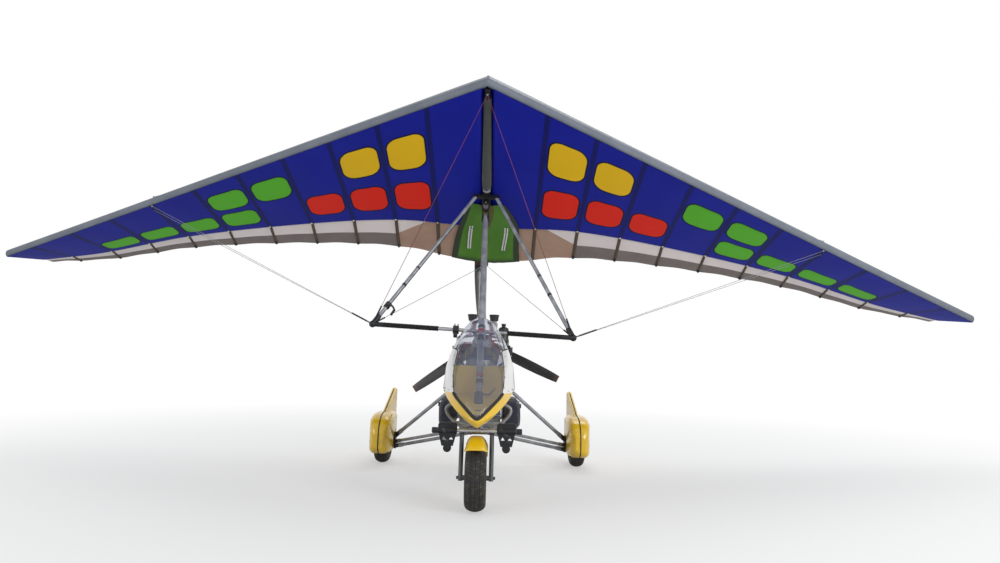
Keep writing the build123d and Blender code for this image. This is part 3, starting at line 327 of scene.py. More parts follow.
bright = Finish("alloy_bright", screen_colour(176, 178, 183), 0.3, metallic=0.8)
bright.uneven(45, 4, 0.2, 0.38)
bright.tint(bright.mixed(8, 4, (154, 156, 162), (188, 190, 194)))
bright.grain(300, 2, 0.05, 0.0003)

fork_paint = Finish("fork_dark", screen_colour(62, 64, 68), 0.45, metallic=0.3)
fork_paint.tint(fork_paint.mixed(16, 4, (52, 54, 58), (78, 80, 84)))
fork_paint.grain(380, 2, 0.06, 0.0004)
dusty(fork_paint, 0.5, 0.6)

black_metal = Finish("metal_black", screen_colour(34, 35, 38), 0.42, metallic=0.4)
worn = black_metal.ramp(black_metal.clouds(26, 6), 0.6, 0.75)
black_metal.tint(black_metal.blend(worn, screen_colour(32, 33, 36), screen_colour(74, 74, 76)))
black_metal.uneven(90, 3, 0.34, 0.55)
black_metal.grain(260, 3, 0.08, 0.0004)

cast = Finish("alloy_cast", screen_colour(140, 142, 145), 0.55, metallic=0.8)
cast.tint(cast.mixed(20, 5, (112, 114, 118), (166, 168, 170)))
cast.grain(520, 4, 0.25, 0.0008)

steel = Finish("steel_wire", screen_colour(150, 152, 156), 0.3, metallic=0.95)
twist = steel.node("ShaderNodeTexWave", bands_direction="DIAGONAL")
twist.inputs["Scale"].default_value = 180
twist.inputs["Distortion"].default_value = 0.4
steel.link(steel.place(), twist.inputs["Vector"])
steel.bump(twist.outputs["Fac"], 0.5, 0.0006)
# Painted shade and highlight: the wave that ridges the strands also tints them, darker in the valleys and lighter on
# the crowns.
steel.tint(steel.blend(twist.outputs["Fac"], screen_colour(96, 98, 102), screen_colour(186, 188, 190)))

hot = Finish("steel_hot", screen_colour(122, 112, 104), 0.38, metallic=0.9)
hot.tint(hot.blend(hot.ramp(hot.clouds(7, 5), 0.35, 0.7), screen_colour(96, 84, 78), screen_colour(158, 150, 140)))
hot.uneven(30, 4, 0.3, 0.55)
print("finishes so far:", len(finishes))

# %% [markdown]
# ## Shells, screen and plastics
# The pod and the spats are moulded: a colour under a clear gloss coat, with a very slight
# ripple that bends reflections. The screen is clear acrylic four millimetres thick.

# %% Shells and plastics
yellow = Finish("shell_yellow", screen_colour(230, 186, 12), 0.3, coat=0.6)
yellow.level("Coat Roughness", 0.08)
yellow.tint(yellow.mixed(3, 3, (224, 180, 10), (236, 194, 20)))
yellow.grain(30, 2, 0.03, 0.002)
dusty(yellow, 0.55, 0.42)

white = Finish("shell_white", screen_colour(226, 226, 222), 0.3, coat=0.6)
white.level("Coat Roughness", 0.08)
white.tint(white.mixed(4, 3, (218, 218, 214), (232, 232, 228)))
white.grain(30, 2, 0.03, 0.002)

screen = Finish("screen_clear", screen_colour(216, 220, 230), 0.03)
screen.level("Transmission Weight", 0.91)  # the rest is haze: an old screen is scratched
screen.level("IOR", 1.3)
screen.gloss(screen.ramp(screen.clouds(18, 5), 0.5, 0.8, 0.02, 0.09))

plastic = Finish("plastic_black", screen_colour(30, 30, 32), 0.5)
plastic.uneven(60, 3, 0.4, 0.62)
plastic.grain(700, 2, 0.15, 0.0004)

# The panel's yellow is set paler and brighter than the shell's, as painted light that makes up for the shade inside the
# nose.
panel = Finish("panel_yellow", screen_colour(242, 200, 40), 0.48)
panel.grain(500, 3, 0.2, 0.0005)
panel.tint(panel.mixed(6, 3, (238, 194, 30), (250, 210, 54)))

tank = Finish("tank_milky", screen_colour(206, 204, 190), 0.42)
tank.level("Subsurface Weight", 0.2)
tank.level("Subsurface Radius", (0.02, 0.02, 0.015))
tank.tint(tank.mixed(5, 3, (196, 192, 174), (214, 212, 200)))

wheel_white = Finish("rim_white", screen_colour(214, 214, 208), 0.4)
wheel_white.grain(200, 2, 0.06, 0.0004)
dusty(wheel_white, 0.7, 0.6)

blade = Finish("blade_carbon", screen_colour(30, 31, 34), 0.33, coat=0.35)
blade.tint(blade.mixed(120, 2, (24, 25, 27), (40, 41, 45)))
spun = blade.node("ShaderNodeSeparateXYZ")
blade.link(blade.place(), spun.inputs[0])
up_from_shaft = blade.math("SUBTRACT", spun.outputs["Z"], 1.135)
from_shaft = blade.math("SQRT", blade.math("ADD", blade.math("POWER", spun.outputs["X"], 2.0),
                                           blade.math("POWER", up_from_shaft, 2.0)))
blade_black = blade.shader.inputs["Base Color"].links[0].from_socket
blade.tint(blade.blend(blade.ramp(from_shaft, 0.812, 0.816), blade_black, screen_colour(74, 50, 42)))
blade.grain(300, 2, 0.06, 0.0004)
print("finishes so far:", len(finishes))

# %% [markdown]
# ## Rubber and cloth
# Tyre rubber is nearly black, matt and dusty from the field. Bags and seats are woven: two
# crossed waves give the weave its threads.

# %% Rubber and cloth
rubber = Finish("rubber_tyre", screen_colour(38, 37, 36), 0.78)
rubber.tint(rubber.blend(rubber.ramp(rubber.clouds(22, 6), 0.4, 0.72), screen_colour(34, 33, 33), screen_colour(70, 64, 55)))
rubber.grain(240, 4, 0.25, 0.001)


def treaded(name, middle, half_width):
    """Tyre rubber with three grooves round the tread and cross cuts between them, by angle about the axle."""
    tread = Finish(name + "_tread", screen_colour(36, 35, 35), 0.8)
    centre = tread.node("ShaderNodeMapping")
    source = tread.node("ShaderNodeTexCoord")
    centre.inputs["Location"].default_value = [-part for part in middle]
    tread.link(source.outputs["Object"], centre.inputs["Vector"])
    parts = tread.node("ShaderNodeSeparateXYZ")
    tread.link(centre.outputs["Vector"], parts.inputs[0])
    radius = tread.math("SQRT", tread.math("ADD", tread.math("POWER", parts.outputs["Y"], 2.0),
                                           tread.math("POWER", parts.outputs["Z"], 2.0)))
    turn = tread.math("ARCTAN2", parts.outputs["Z"], parts.outputs["Y"])
    off = tread.math("ABSOLUTE", parts.outputs["X"])
    middle_groove = tread.ramp(off, 0.0022, 0.0034, 1, 0)
    side_groove = tread.ramp(tread.math("ABSOLUTE", tread.math("SUBTRACT", off, half_width * 0.5)), 0.0018, 0.003, 1, 0)
    slanted = tread.math("ADD", tread.math("MULTIPLY", turn, 54.0), tread.math("MULTIPLY", off, 160.0))
    cross_cut = tread.ramp(tread.math("SINE", slanted), 0.8, 0.94)
    cross_cut = tread.math("MULTIPLY", cross_cut, tread.ramp(off, half_width * 0.16, half_width * 0.2))
    grooves = tread.math("MAXIMUM", tread.math("MAXIMUM", middle_groove, side_groove), cross_cut)
    grooves = tread.math("MULTIPLY", grooves, tread.ramp(radius, 0.186, 0.191))
    worn = tread.blend(tread.ramp(tread.clouds(24, 6), 0.4, 0.72), screen_colour(38, 37, 37), screen_colour(74, 67, 57))
    # Painted shade: the grooves are tinted near black, darker than the rubber itself.
    tread.tint(tread.blend(grooves, worn, screen_colour(14, 13, 13)))
    flank_rings = tread.math("SINE", tread.math("MULTIPLY", radius, 1100.0))
    flank = tread.math("MULTIPLY", flank_rings, tread.ramp(radius, 0.178, 0.184, 1, 0))
    tread.bump(flank, 0.15, 0.0008)
    tread.bump(tread.math("SUBTRACT", 1.0, grooves), 0.9, 0.004)
    tread.grain(240, 4, 0.2, 0.001)


wheel_middles = {"front_tyre": ((0, -1.469, 0.21), 0.058), "rear_left_tyre": ((-0.897, 0.398, 0.21), 0.052),
                 "rear_right_tyre": ((0.897, 0.398, 0.21), 0.052)}
for wheel_name, (wheel_middle, tread_half) in wheel_middles.items():
    treaded(wheel_name, wheel_middle, tread_half)
print("tyres:", len(wheel_middles))


def woven(name, colour, thread=0.0011, strength=0.5):
    """A cloth finish with threads running both ways."""
    cloth = Finish(name, colour, 0.86)
    waves = []
    for direction in ("X", "Z"):
        wave = cloth.node("ShaderNodeTexWave", bands_direction=direction)
        wave.inputs["Scale"].default_value = 1 / thread / 6.28
        wave.inputs["Distortion"].default_value = 0.3
        cloth.link(cloth.place(), wave.inputs["Vector"])
        waves.append(wave.outputs["Fac"])
    threads = cloth.math("MULTIPLY", waves[0], waves[1])
    faded = cloth.ramp(cloth.clouds(7, 5), 0.4, 0.75, 0, 0.35)
    cloth.tint(cloth.blend(faded, colour, shade(colour, 1.9)))
    cloth.bump(threads, strength, thread * 0.5)
    cloth.level("Sheen Weight", 0.25)


woven("cloth_seat", screen_colour(52, 56, 68))
woven("cloth_bag", screen_colour(40, 42, 56), 0.0014)
print("finishes so far:", len(finishes))

# %% [markdown]
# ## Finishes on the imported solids
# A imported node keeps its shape. Only the finish in its material slot changes.

# %% Assign finishes
node_finish = {
    "tube_grey": ["base_beam", "mast", "front_strut", "pod_stays", "seat_rails", "engine_mount", "uprights",
                  "kingpost"],
    "tube_gear": ["axle_arms", "drag_arms", "gear_legs"],
    "alloy_bright": ["foot_bar", "prop_hub", "hang_block", "base_bar"],
    "fork_dark": ["fork"],
    "metal_black": ["strut_socket", "mast_head", "hub_carriers", "pedals", "cylinders", "radiator", "keel_tube",
                    "keel_bracket", "corner_fittings"],
    "steel_wire": ["mast_foot_bolt", "stay_tangs", "lower_stays", "upper_stays"],
    "alloy_cast": ["crankcase", "gearbox", "carburettors"],
    "steel_hot": ["exhaust"],
    "shell_yellow": ["front_mudguard", "pod_lower", "spat_left", "spat_right"],
    "shell_white": ["pod_sides"],
    "screen_clear": ["windscreen"],
    "plastic_black": ["air_filters"],
    "panel_yellow": ["binnacle"],
    "tank_milky": ["fuel_tank"],
    "rim_white": ["front_rim", "rear_left_rim", "rear_right_rim"],
    "blade_carbon": ["prop_blades"],
    "front_tyre_tread": ["front_tyre"],
    "rear_left_tyre_tread": ["rear_left_tyre"],
    "rear_right_tyre_tread": ["rear_right_tyre"],
    "cloth_seat": ["front_seat", "rear_seat"],
    "cloth_bag": ["panniers"],
}


def wear(obj, name):
    """Gives an object one finish."""
    if not obj.material_slots:
        obj.data.materials.append(finishes[name])
    for one in obj.material_slots:
        one.material = finishes[name]


for finish_name, members in node_finish.items():
    for member in members:
        wear(nodes[member], finish_name)
print("nodes with a finish:", sum(len(members) for members in node_finish.values()))

# %% [markdown]
# ## Round things that follow a line
# Wires, hoses, trims and piping are all a round section along a line. Blender's own curve does
# this best: it bevels itself and caps its ends. It is turned into a plain mesh at once.

# %% Line helper


def new_object(name, mesh):
    """An object for a mesh, in the scene."""
    obj = bpy.data.objects.new(name, mesh)
    scene.collection.objects.link(obj)
    return obj


def from_shape(name, shape):
    """An object from a shape that was built up face by face."""
    mesh = bpy.data.meshes.new(name)
    shape.to_mesh(mesh)
    shape.free()
    return new_object(name, mesh)


def line_curve(name, points, radius, smooth=True, sides=3, taper=None):
    """A round bar along points, as a mesh. A smooth one is a NURBS line with the points as its guides."""
    data = bpy.data.curves.new(name, "CURVE")
    data.dimensions = "3D"
    data.bevel_depth = radius
    data.bevel_resolution = sides
    data.use_fill_caps = True
    data.resolution_u = 6
    spline = data.splines.new("NURBS" if smooth else "POLY")
    spline.points.add(len(points) - 1)
    for index, point in enumerate(points):
        spline.points[index].co = (*point, 1)
        spline.points[index].radius = taper[index] if taper else 1.0
    if smooth:
        spline.order_u = 3
        spline.use_endpoint_u = True
    rough = new_object(name + "_line", data)
    mesh = bpy.data.meshes.new_from_object(rough.evaluated_get(bpy.context.evaluated_depsgraph_get()))
    bpy.data.objects.remove(rough)
    mesh.name = name
    mesh.polygons.foreach_set("use_smooth", [True] * len(mesh.polygons))
    mesh.materials.clear()
    return new_object(name, mesh)


def join_pieces(name, pieces):
    """Several mesh objects made one, each with its own finish kept."""
    whole = bmesh.new()
    slots = []
    for piece in pieces:
        first = len(slots)
        slots.extend(slot.material for slot in piece.material_slots)
        part = bmesh.new()
        part.from_mesh(piece.data)
        for face in part.faces:
            face.material_index += first
        passing = bpy.data.meshes.new("passing")
        part.to_mesh(passing)
        part.free()
        whole.from_mesh(passing)
        bpy.data.meshes.remove(passing)
        bpy.data.objects.remove(piece)
    obj = from_shape(name, whole)
    for material in slots:
        obj.data.materials.append(material)
    return obj


def gather(pieces, obj, finish_name):
    """Gives a new piece its finish and puts it with others that will be joined."""
    wear(obj, finish_name)
    pieces.append(obj)


def fit_out(obj, body, finish_name=None):
    """Finish and body of a new piece in one go."""
    if finish_name:
        wear(obj, finish_name)
    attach(obj, body)
    return obj


def rounded_box(name, centre, size, bevel=0.004, turn=None):
    """A box with rounded edges, for clamps, housings and buckles."""
    shape = bmesh.new()
    bmesh.ops.create_cube(shape, size=1.0)
    bmesh.ops.scale(shape, vec=size, verts=shape.verts)
    bmesh.ops.bevel(shape, geom=shape.edges[:], offset=bevel, segments=3, profile=0.5, affect="EDGES")
    if turn:
        bmesh.ops.transform(shape, matrix=turn, verts=shape.verts)
    bmesh.ops.translate(shape, vec=centre, verts=shape.verts)
    return from_shape(name, shape)


def ring_faces(rows, sides):
    """The faces of a tube of points: rows of rings, each with as many sides."""
    faces = []
    for row in range(rows):
        a, b = row * sides, (row + 1) * sides
        for step in range(sides):
            other = (step + 1) % sides
            faces.append((a + step, a + other, b + other, b + step))
    return faces


def turned(name, base, axis, outline, sides=28):
    """A turned shape about axis: outline gives radius and distance along it."""
    along = Vector(axis).normalized()
    first = along.orthogonal().normalized()
    second = along.cross(first)
    points = []
    for radius, reach in outline:
        for step in range(sides):
            angle = 2 * pi * step / sides
            outward = first * cos(angle) + second * sin(angle)
            points.append(Vector(base) + along * reach + outward * max(radius, 1e-4))
    faces = ring_faces(len(outline) - 1, sides)
    faces.append(tuple(reversed(range(sides))))
    faces.append(tuple(range((len(outline) - 1) * sides, len(outline) * sides)))
    return mesh_object(name, points, faces)


print("helpers ready")

# %% [markdown]
# ## Geometry Nodes for what repeats
# Screws, stitches, rings and marks repeat along a line or over a set of points. One tree sets a
# small head on each point and turns it to the point's own direction; another walks along a
# line in even steps. Copying meshes in a loop would do it too, but a tree keeps the sizes
# as inputs that can be changed in one place.

# %% Trees


def start_tree(name, sizes):
    """A new node tree with a geometry input, named sizes and a material input."""
    tree = bpy.data.node_groups.new(name, "GeometryNodeTree")
    tree.interface.new_socket("Geometry", in_out="INPUT", socket_type="NodeSocketGeometry")
    for label, value in sizes:
        kind = "NodeSocketInt" if isinstance(value, int) else "NodeSocketFloat"
        made = tree.interface.new_socket(label, in_out="INPUT", socket_type=kind)
        made.default_value = value
    tree.interface.new_socket("Material", in_out="INPUT", socket_type="NodeSocketMaterial")
    tree.interface.new_socket("Geometry", in_out="OUTPUT", socket_type="NodeSocketGeometry")
    return tree, tree.nodes.new("NodeGroupInput"), tree.nodes.new("NodeGroupOutput")


def end_tree(tree, source, target, geometry):
    """Realize Instances and Set Material, then out."""
    real = tree.nodes.new("GeometryNodeRealizeInstances")
    paint = tree.nodes.new("GeometryNodeSetMaterial")
    tree.links.new(geometry, real.inputs["Geometry"])
    tree.links.new(real.outputs["Geometry"], paint.inputs["Geometry"])
    tree.links.new(source.outputs["Material"], paint.inputs["Material"])
    tree.links.new(paint.outputs["Geometry"], target.inputs["Geometry"])
    return tree


def heads_tree():
    """A low tapered head on every point, turned to the attribute aim."""
    tree, source, target = start_tree("heads", [("Radius", 0.004), ("Height", 0.002), ("Sides", 10), ("Taper", 0.7)])
    links, add = tree.links, tree.nodes.new
    head = add("GeometryNodeMeshCone")
    top = add("ShaderNodeMath")
    top.operation = "MULTIPLY"
    links.new(source.outputs["Radius"], top.inputs[0])
    links.new(source.outputs["Taper"], top.inputs[1])
    links.new(top.outputs[0], head.inputs["Radius Top"])
    links.new(source.outputs["Radius"], head.inputs["Radius Bottom"])
    links.new(source.outputs["Height"], head.inputs["Depth"])
    links.new(source.outputs["Sides"], head.inputs["Vertices"])
    aim = add("GeometryNodeInputNamedAttribute")
    aim.data_type = "FLOAT_VECTOR"
    aim.inputs["Name"].default_value = "aim"
    turn = add("FunctionNodeAlignRotationToVector")
    turn.axis = "Z"
    links.new(aim.outputs["Attribute"], turn.inputs["Vector"])
    spread = add("GeometryNodeInstanceOnPoints")
    links.new(source.outputs["Geometry"], spread.inputs["Points"])
    links.new(head.outputs["Mesh"], spread.inputs["Instance"])
    links.new(turn.outputs["Rotation"], spread.inputs["Rotation"])
    return end_tree(tree, source, target, spread.outputs["Instances"])


def along_line(tree, source, axis, piece, scale=None):
    """Sets a piece every so far along a line, its axis turned to the line."""
    links, add = tree.links, tree.nodes.new
    curve = add("GeometryNodeMeshToCurve")
    walk = add("GeometryNodeResampleCurve")
    walk.mode = "LENGTH"
    links.new(source.outputs["Geometry"], curve.inputs["Mesh"])
    links.new(curve.outputs["Curve"], walk.inputs["Curve"])
    links.new(source.outputs["Spacing"], walk.inputs["Length"])
    tangent = add("GeometryNodeInputTangent")
    turn = add("FunctionNodeAlignRotationToVector")
    turn.axis = axis
    links.new(tangent.outputs["Tangent"], turn.inputs["Vector"])
    spread = add("GeometryNodeInstanceOnPoints")
    links.new(walk.outputs["Curve"], spread.inputs["Points"])
    links.new(piece, spread.inputs["Instance"])
    links.new(turn.outputs["Rotation"], spread.inputs["Rotation"])
    if scale is not None:
        links.new(scale, spread.inputs["Scale"])
    return spread.outputs["Instances"]


def steps_tree():
    """A small rounded bead every so far along a line, stretched along it."""
    tree, source, target = start_tree("steps", [("Spacing", 0.006), ("Length", 0.004), ("Width", 0.001), ("Height", 0.001)])
    links, add = tree.links, tree.nodes.new
    bead = add("GeometryNodeMeshUVSphere")
    bead.inputs["Segments"].default_value = 6
    bead.inputs["Rings"].default_value = 4
    bead.inputs["Radius"].default_value = 0.5
    size = add("ShaderNodeCombineXYZ")
    for label, end in (("Length", "X"), ("Width", "Y"), ("Height", "Z")):
        links.new(source.outputs[label], size.inputs[end])
    beads = along_line(tree, source, "X", bead.outputs["Mesh"], size.outputs["Vector"])
    return end_tree(tree, source, target, beads)


def rings_tree():
    """Rounded rings every so far along a line, square to it."""
    tree, source, target = start_tree("rings", [("Spacing", 0.01), ("Radius", 0.018), ("Bulge", 0.004)])
    links, add = tree.links, tree.nodes.new
    loop, section = add("GeometryNodeCurvePrimitiveCircle"), add("GeometryNodeCurvePrimitiveCircle")
    ring = add("GeometryNodeCurveToMesh")
    loop.inputs["Resolution"].default_value = 20
    section.inputs["Resolution"].default_value = 6
    links.new(source.outputs["Radius"], loop.inputs["Radius"])
    links.new(source.outputs["Bulge"], section.inputs["Radius"])
    links.new(loop.outputs["Curve"], ring.inputs["Curve"])
    links.new(section.outputs["Curve"], ring.inputs["Profile Curve"])
    return end_tree(tree, source, target, along_line(tree, source, "Z", ring.outputs["Mesh"]))


trees = {"heads": heads_tree(), "steps": steps_tree(), "rings": rings_tree()}
print("trees:", sorted(trees))

# %% Grow a tree's result into a plain mesh


def grow(name, tree_name, points, sizes, finish_name, edges=(), aims=None):
    """Runs one tree over points or lines and returns a plain mesh with its finish."""
    seed_mesh = bpy.data.meshes.new(name + "_seed")
    seed_mesh.from_pydata([tuple(point) for point in points], list(edges), [])
    if aims:
        layer = seed_mesh.attributes.new("aim", "FLOAT_VECTOR", "POINT")
        layer.data.foreach_set("vector", [part for aim in aims for part in aim])
    seed = new_object(name + "_seed", seed_mesh)
    modifier = seed.modifiers.new("grow", "NODES")
    modifier.node_group = trees[tree_name]
    values = dict(sizes, Material=finishes[finish_name])
    for item in trees[tree_name].interface.items_tree:
        if item.item_type == "SOCKET" and item.in_out == "INPUT" and item.name in values:
            modifier[item.identifier] = values[item.name]
    evaluated = seed.evaluated_get(bpy.context.evaluated_depsgraph_get())
    mesh = bpy.data.meshes.new_from_object(evaluated)
    bpy.data.objects.remove(seed)
    mesh.name = name
    if "aim" in mesh.attributes:
        mesh.attributes.remove(mesh.attributes["aim"])
    obj = new_object(name, mesh)
    if not obj.material_slots or not obj.material_slots[0].material:
        wear(obj, finish_name)
    return obj


def heads(name, places, aims, radius, height, sides, taper, finish_name):
    """Small tapered heads at places, each turned to its own aim."""
    sizes = {"Radius": radius, "Height": height, "Sides": sides, "Taper": taper}
    return grow(name, "heads", places, sizes, finish_name, aims=aims)


def chain(lines):
    """Points and edges of several lines, for one seed mesh."""
    points, edges = [], []
    for line in lines:
        start = len(points)
        points.extend(line)
        edges.extend((start + index, start + index + 1) for index in range(len(line) - 1))
    return points, edges


def grow_along(name, tree_name, lines, sizes, finish_name):
    """Beads or rings along several lines, as one piece."""
    points, edges = chain(lines)
    return grow(name, tree_name, points, sizes, finish_name, edges=edges)


trial = heads("trial_heads", [(0, 0, 1), (0, 0, 1.1)], [(0, -1, 0)] * 2, 0.004, 0.002, 10, 0.7, "steel_wire")
print("faces of two heads:", len(trial.data.polygons))
bpy.data.objects.remove(trial)

# %% [markdown]
# ## More finishes
# Small parts need a few finishes of their own: rubber, foam, coloured cloth, webbing and the
# reddish coating of the front wires.

# %% Small finishes


def plain_finish(name, colour, roughness, grain=300, strength=0.1, metallic=0.0, spread=0.12):
    """A finish with a slight change of its screen colour and a fine grain."""
    colour = screen_colour(*colour)
    made = Finish(name, colour, roughness, metallic=metallic)
    made.tint(made.blend(made.clouds(18, 5), shade(colour, 1 - 2 * spread), shade(colour, 1 + 2 * spread)))
    made.uneven(40, 3, max(0.05, roughness - 0.08), min(1, roughness + 0.08))
    made.grain(grain, 3, strength, 0.0006)


plain_finish("rubber_black", (26, 26, 27), 0.7)
plain_finish("foam_black", (24, 24, 26), 0.92, 900, 0.4)
plain_finish("fitting_white", (206, 206, 204), 0.45)
plain_finish("fitting_orange", (206, 92, 26), 0.5)
plain_finish("wire_red", (112, 44, 58), 0.5, 500)
plain_finish("strap_red", (172, 26, 28), 0.75, 700, 0.35)
plain_finish("hose_black", (22, 22, 24), 0.55, 260, 0.2)
plain_finish("lead_blue", (28, 52, 118), 0.45)
plain_finish("dial_black", (14, 14, 16), 0.35)
plain_finish("dial_mark", (224, 224, 220), 0.5)
plain_finish("thread_grey", (146, 148, 154), 0.8)
plain_finish("zip_grey", (158, 158, 156), 0.4, metallic=0.5)
plain_finish("web_black", (20, 20, 22), 0.85, 800, 0.5)
plain_finish("batten_brown", (78, 66, 54), 0.8, 600, 0.3)
plain_finish("oil_tank", (58, 60, 62), 0.4, 200, 0.1, 0.5)
woven("cloth_keel", screen_colour(48, 52, 46), 0.0016, 0.3)
print("finishes:", len(finishes))

# %% [markdown]
# ## The wing's own frame
# The wing hangs nose up and leans a little to one side. Its pieces are drawn level, with the
# hang bolt as origin, and turned afterwards, as a sailmaker lofts a sail flat on the floor.

# %% Wing placement
hang_bolt = Vector((0, -0.075, 2.315))
pin_rise = 0.035
wing_place = (
    Matrix.Translation(hang_bolt)
    @ Matrix.Rotation(radians(-27.57), 4, "X")
    @ Matrix.Translation((0, 0, pin_rise))
    @ Matrix.Rotation(radians(2.887), 4, "Y")
    @ Matrix.Translation((0, 0, -pin_rise))
)
wing_turn = wing_place.to_3x3()


def mesh_object(name, points, faces, smooth=True):
    """A mesh object from points and faces, already in the row frame."""
    mesh = bpy.data.meshes.new(name)
    mesh.from_pydata([tuple(point) for point in points], [], faces)
    mesh.validate()
    mesh.polygons.foreach_set("use_smooth", [smooth] * len(mesh.polygons))
    return new_object(name, mesh)


def set_attribute(obj, name, values):
    """Stores one number for each point of a mesh."""
    layer = obj.data.attributes.new(name, "FLOAT", "POINT")
    layer.data.foreach_set("value", values)


print("hang bolt:", [round(value, 3) for value in hang_bolt])

# %% [markdown]
# ## Ribs
# Each rib has a round leading edge, an arched upper skin and a nearly straight lower skin that
# joins the upper one at four fifths of the chord. Ribs between the drafted ones follow a smooth
# curve through them, which is what a sail under tension does.

# %% Rib outlines
half_span, edge_radius, join_share, crest_share = 4.99, 0.036, 0.78, 0.33
drafted_ribs = [  # distance from the keel, trailing edge y and z, camber
    (0.000, 0.920, 0.062, 0.235),
    (0.850, 0.812, 0.108, 0.190),
    (1.800, 0.910, 0.150, 0.150),
    (3.100, 1.200, 0.205, 0.105),
    (4.200, 1.580, 0.236, 0.070),
    (4.990, 1.750, 0.250, 0.040),
]


def smooth_between(x, column):
    """The value at x of a smooth curve through one column of the drafted ribs."""
    rows = drafted_ribs
    index = max(i for i in range(len(rows) - 1) if rows[i][0] <= x + 1e-9)
    x0, x1 = rows[index][0], rows[index + 1][0]
    v0, v1 = rows[index][column], rows[index + 1][column]
    before = rows[index - 1] if index else (-rows[1][0], *rows[1][1:])
    after = rows[index + 2] if index + 2 < len(rows) else rows[index + 1]
    slope0 = (v1 - before[column]) / (x1 - before[0])
    slope1 = (after[column] - v0) / (after[0] - x0)
    t, width = (x - x0) / (x1 - x0), x1 - x0
    return ((2 * t**3 - 3 * t**2 + 1) * v0 + (t**3 - 2 * t**2 + t) * width * slope0
            + (3 * t**2 - 2 * t**3) * v1 + (t**3 - t**2) * width * slope1)


def rib_at(x):
    """Leading edge y and z, chord, trailing edge y and z and camber at this distance from the keel."""
    share = x / half_span
    lead_y, lead_z = -1.308 + 2.442 * share, 0.120 - 0.198 * share
    tail_y, tail_z, camber = (smooth_between(x, column) for column in (1, 2, 3))
    return lead_y, lead_z, tail_y - lead_y, tail_y, tail_z, camber


def upper_height(x, share):
    """Height of the upper skin over the rib's line, as a smooth arch."""
    lead_y, lead_z, chord, tail_y, tail_z, camber = rib_at(x)
    arch = share**0.55 * (1 - share) ** 1.5 / 0.298
    edge = edge_radius * exp(-share * chord / 0.25)
    return lead_z + (tail_z - lead_z) * share + camber * arch + edge * (1 - share)


def batten_place(number):
    """Distance of a batten from the keel. Their spacing grows towards the tip."""
    return 0.47 + 0.40 * number + 0.0067 * number**2


batten_count = 10
battens = [batten_place(number) for number in range(batten_count)]
bay_edges = [0.0] + battens + [half_span]


def bay_of(x):
    """Which bay x is in, and how far across it, as one number."""
    x = abs(x)
    for number in range(len(bay_edges) - 1):
        if x <= bay_edges[number + 1] + 1e-9:
            return number + (x - bay_edges[number]) / (bay_edges[number + 1] - bay_edges[number])
    return len(bay_edges) - 1.0


print("battens at", [round(place, 2) for place in battens])

# %% [markdown]
# ## Coloured cells
# The underside carries a plain pattern: each bay between two battens holds rounded cells, yellow
# near the nose, red behind them and green further out, with a dark outline on a blue ground.
# A picture could be painted on, but a rule gives crisp edges at any distance. Each point of
# the cloth stores how far it lies from the nearest cell's edge, and the finish does the rest.

# %% Pattern rule
cell_rows = [  # first bay, last bay, start and end as shares of the lower skin, colour number
    (1, 2, 0.16, 0.44, 0),
    (1, 3, 0.58, 0.86, 1),
    (4, 5, 0.20, 0.50, 2),
    (5, 8, 0.60, 0.88, 2),
]
cell_gap = 0.045


def cell_distance(x, along, skin_length):
    """Distance in metres from the nearest cell's edge, below 0 inside, and its colour number."""
    best, colour = 9.0, 0.0
    for first, last, start, end, number in cell_rows:
        for bay in range(first, last + 1):
            left, right = bay_edges[bay] + cell_gap, bay_edges[bay + 1] - cell_gap
            centre_x, half_x = (left + right) / 2, (right - left) / 2
            centre = (start + end) / 2 * skin_length
            half = (end - start) / 2 * skin_length
            radius = min(half_x, half) * 0.62
            dx = max(abs(abs(x) - centre_x) - half_x + radius, 0)
            dy = max(abs(along - centre) - half + radius, 0)
            inside = min(max(abs(abs(x) - centre_x) - half_x + radius, abs(along - centre) - half + radius), 0)
            distance = sqrt(dx * dx + dy * dy) + inside - radius
            if distance < best:
                best, colour = distance, float(number)
    return best, colour


print("cells a side:", sum(last - first + 1 for first, last, *rest in cell_rows))

# %% [markdown]
# ## Sewing the skins
# The lower skin is a sheet from just behind the leading edge to the join. The upper skin starts
# under the leading edge, wraps round it and runs back to the trailing edge. Each is one grid
# of points, so both halves of the wing share a seam over the keel.

# %% Lower skin
span_steps, chord_steps = 150, 46


def span_places():
    """Distances from the keel. The first few are close together, to follow the keel tube."""
    near = [0.0, 0.012, 0.022, 0.03, 0.036, 0.042, 0.05, 0.07]
    return near + [half_span * step / span_steps for step in range(3, span_steps + 1)]


def keel_lift(x, z):
    """How far the lower skin rises to pass over the keel tube."""
    return max(0.0, 0.150 - z) * exp(-((abs(x) / 0.046) ** 6))


def grid_faces(rows, columns, flip=False):
    faces = []
    for row in range(rows - 1):
        for column in range(columns - 1):
            a = row * columns + column
            quad = (a, a + 1, a + columns + 1, a + columns)
            faces.append(quad[::-1] if flip else quad)
    return faces


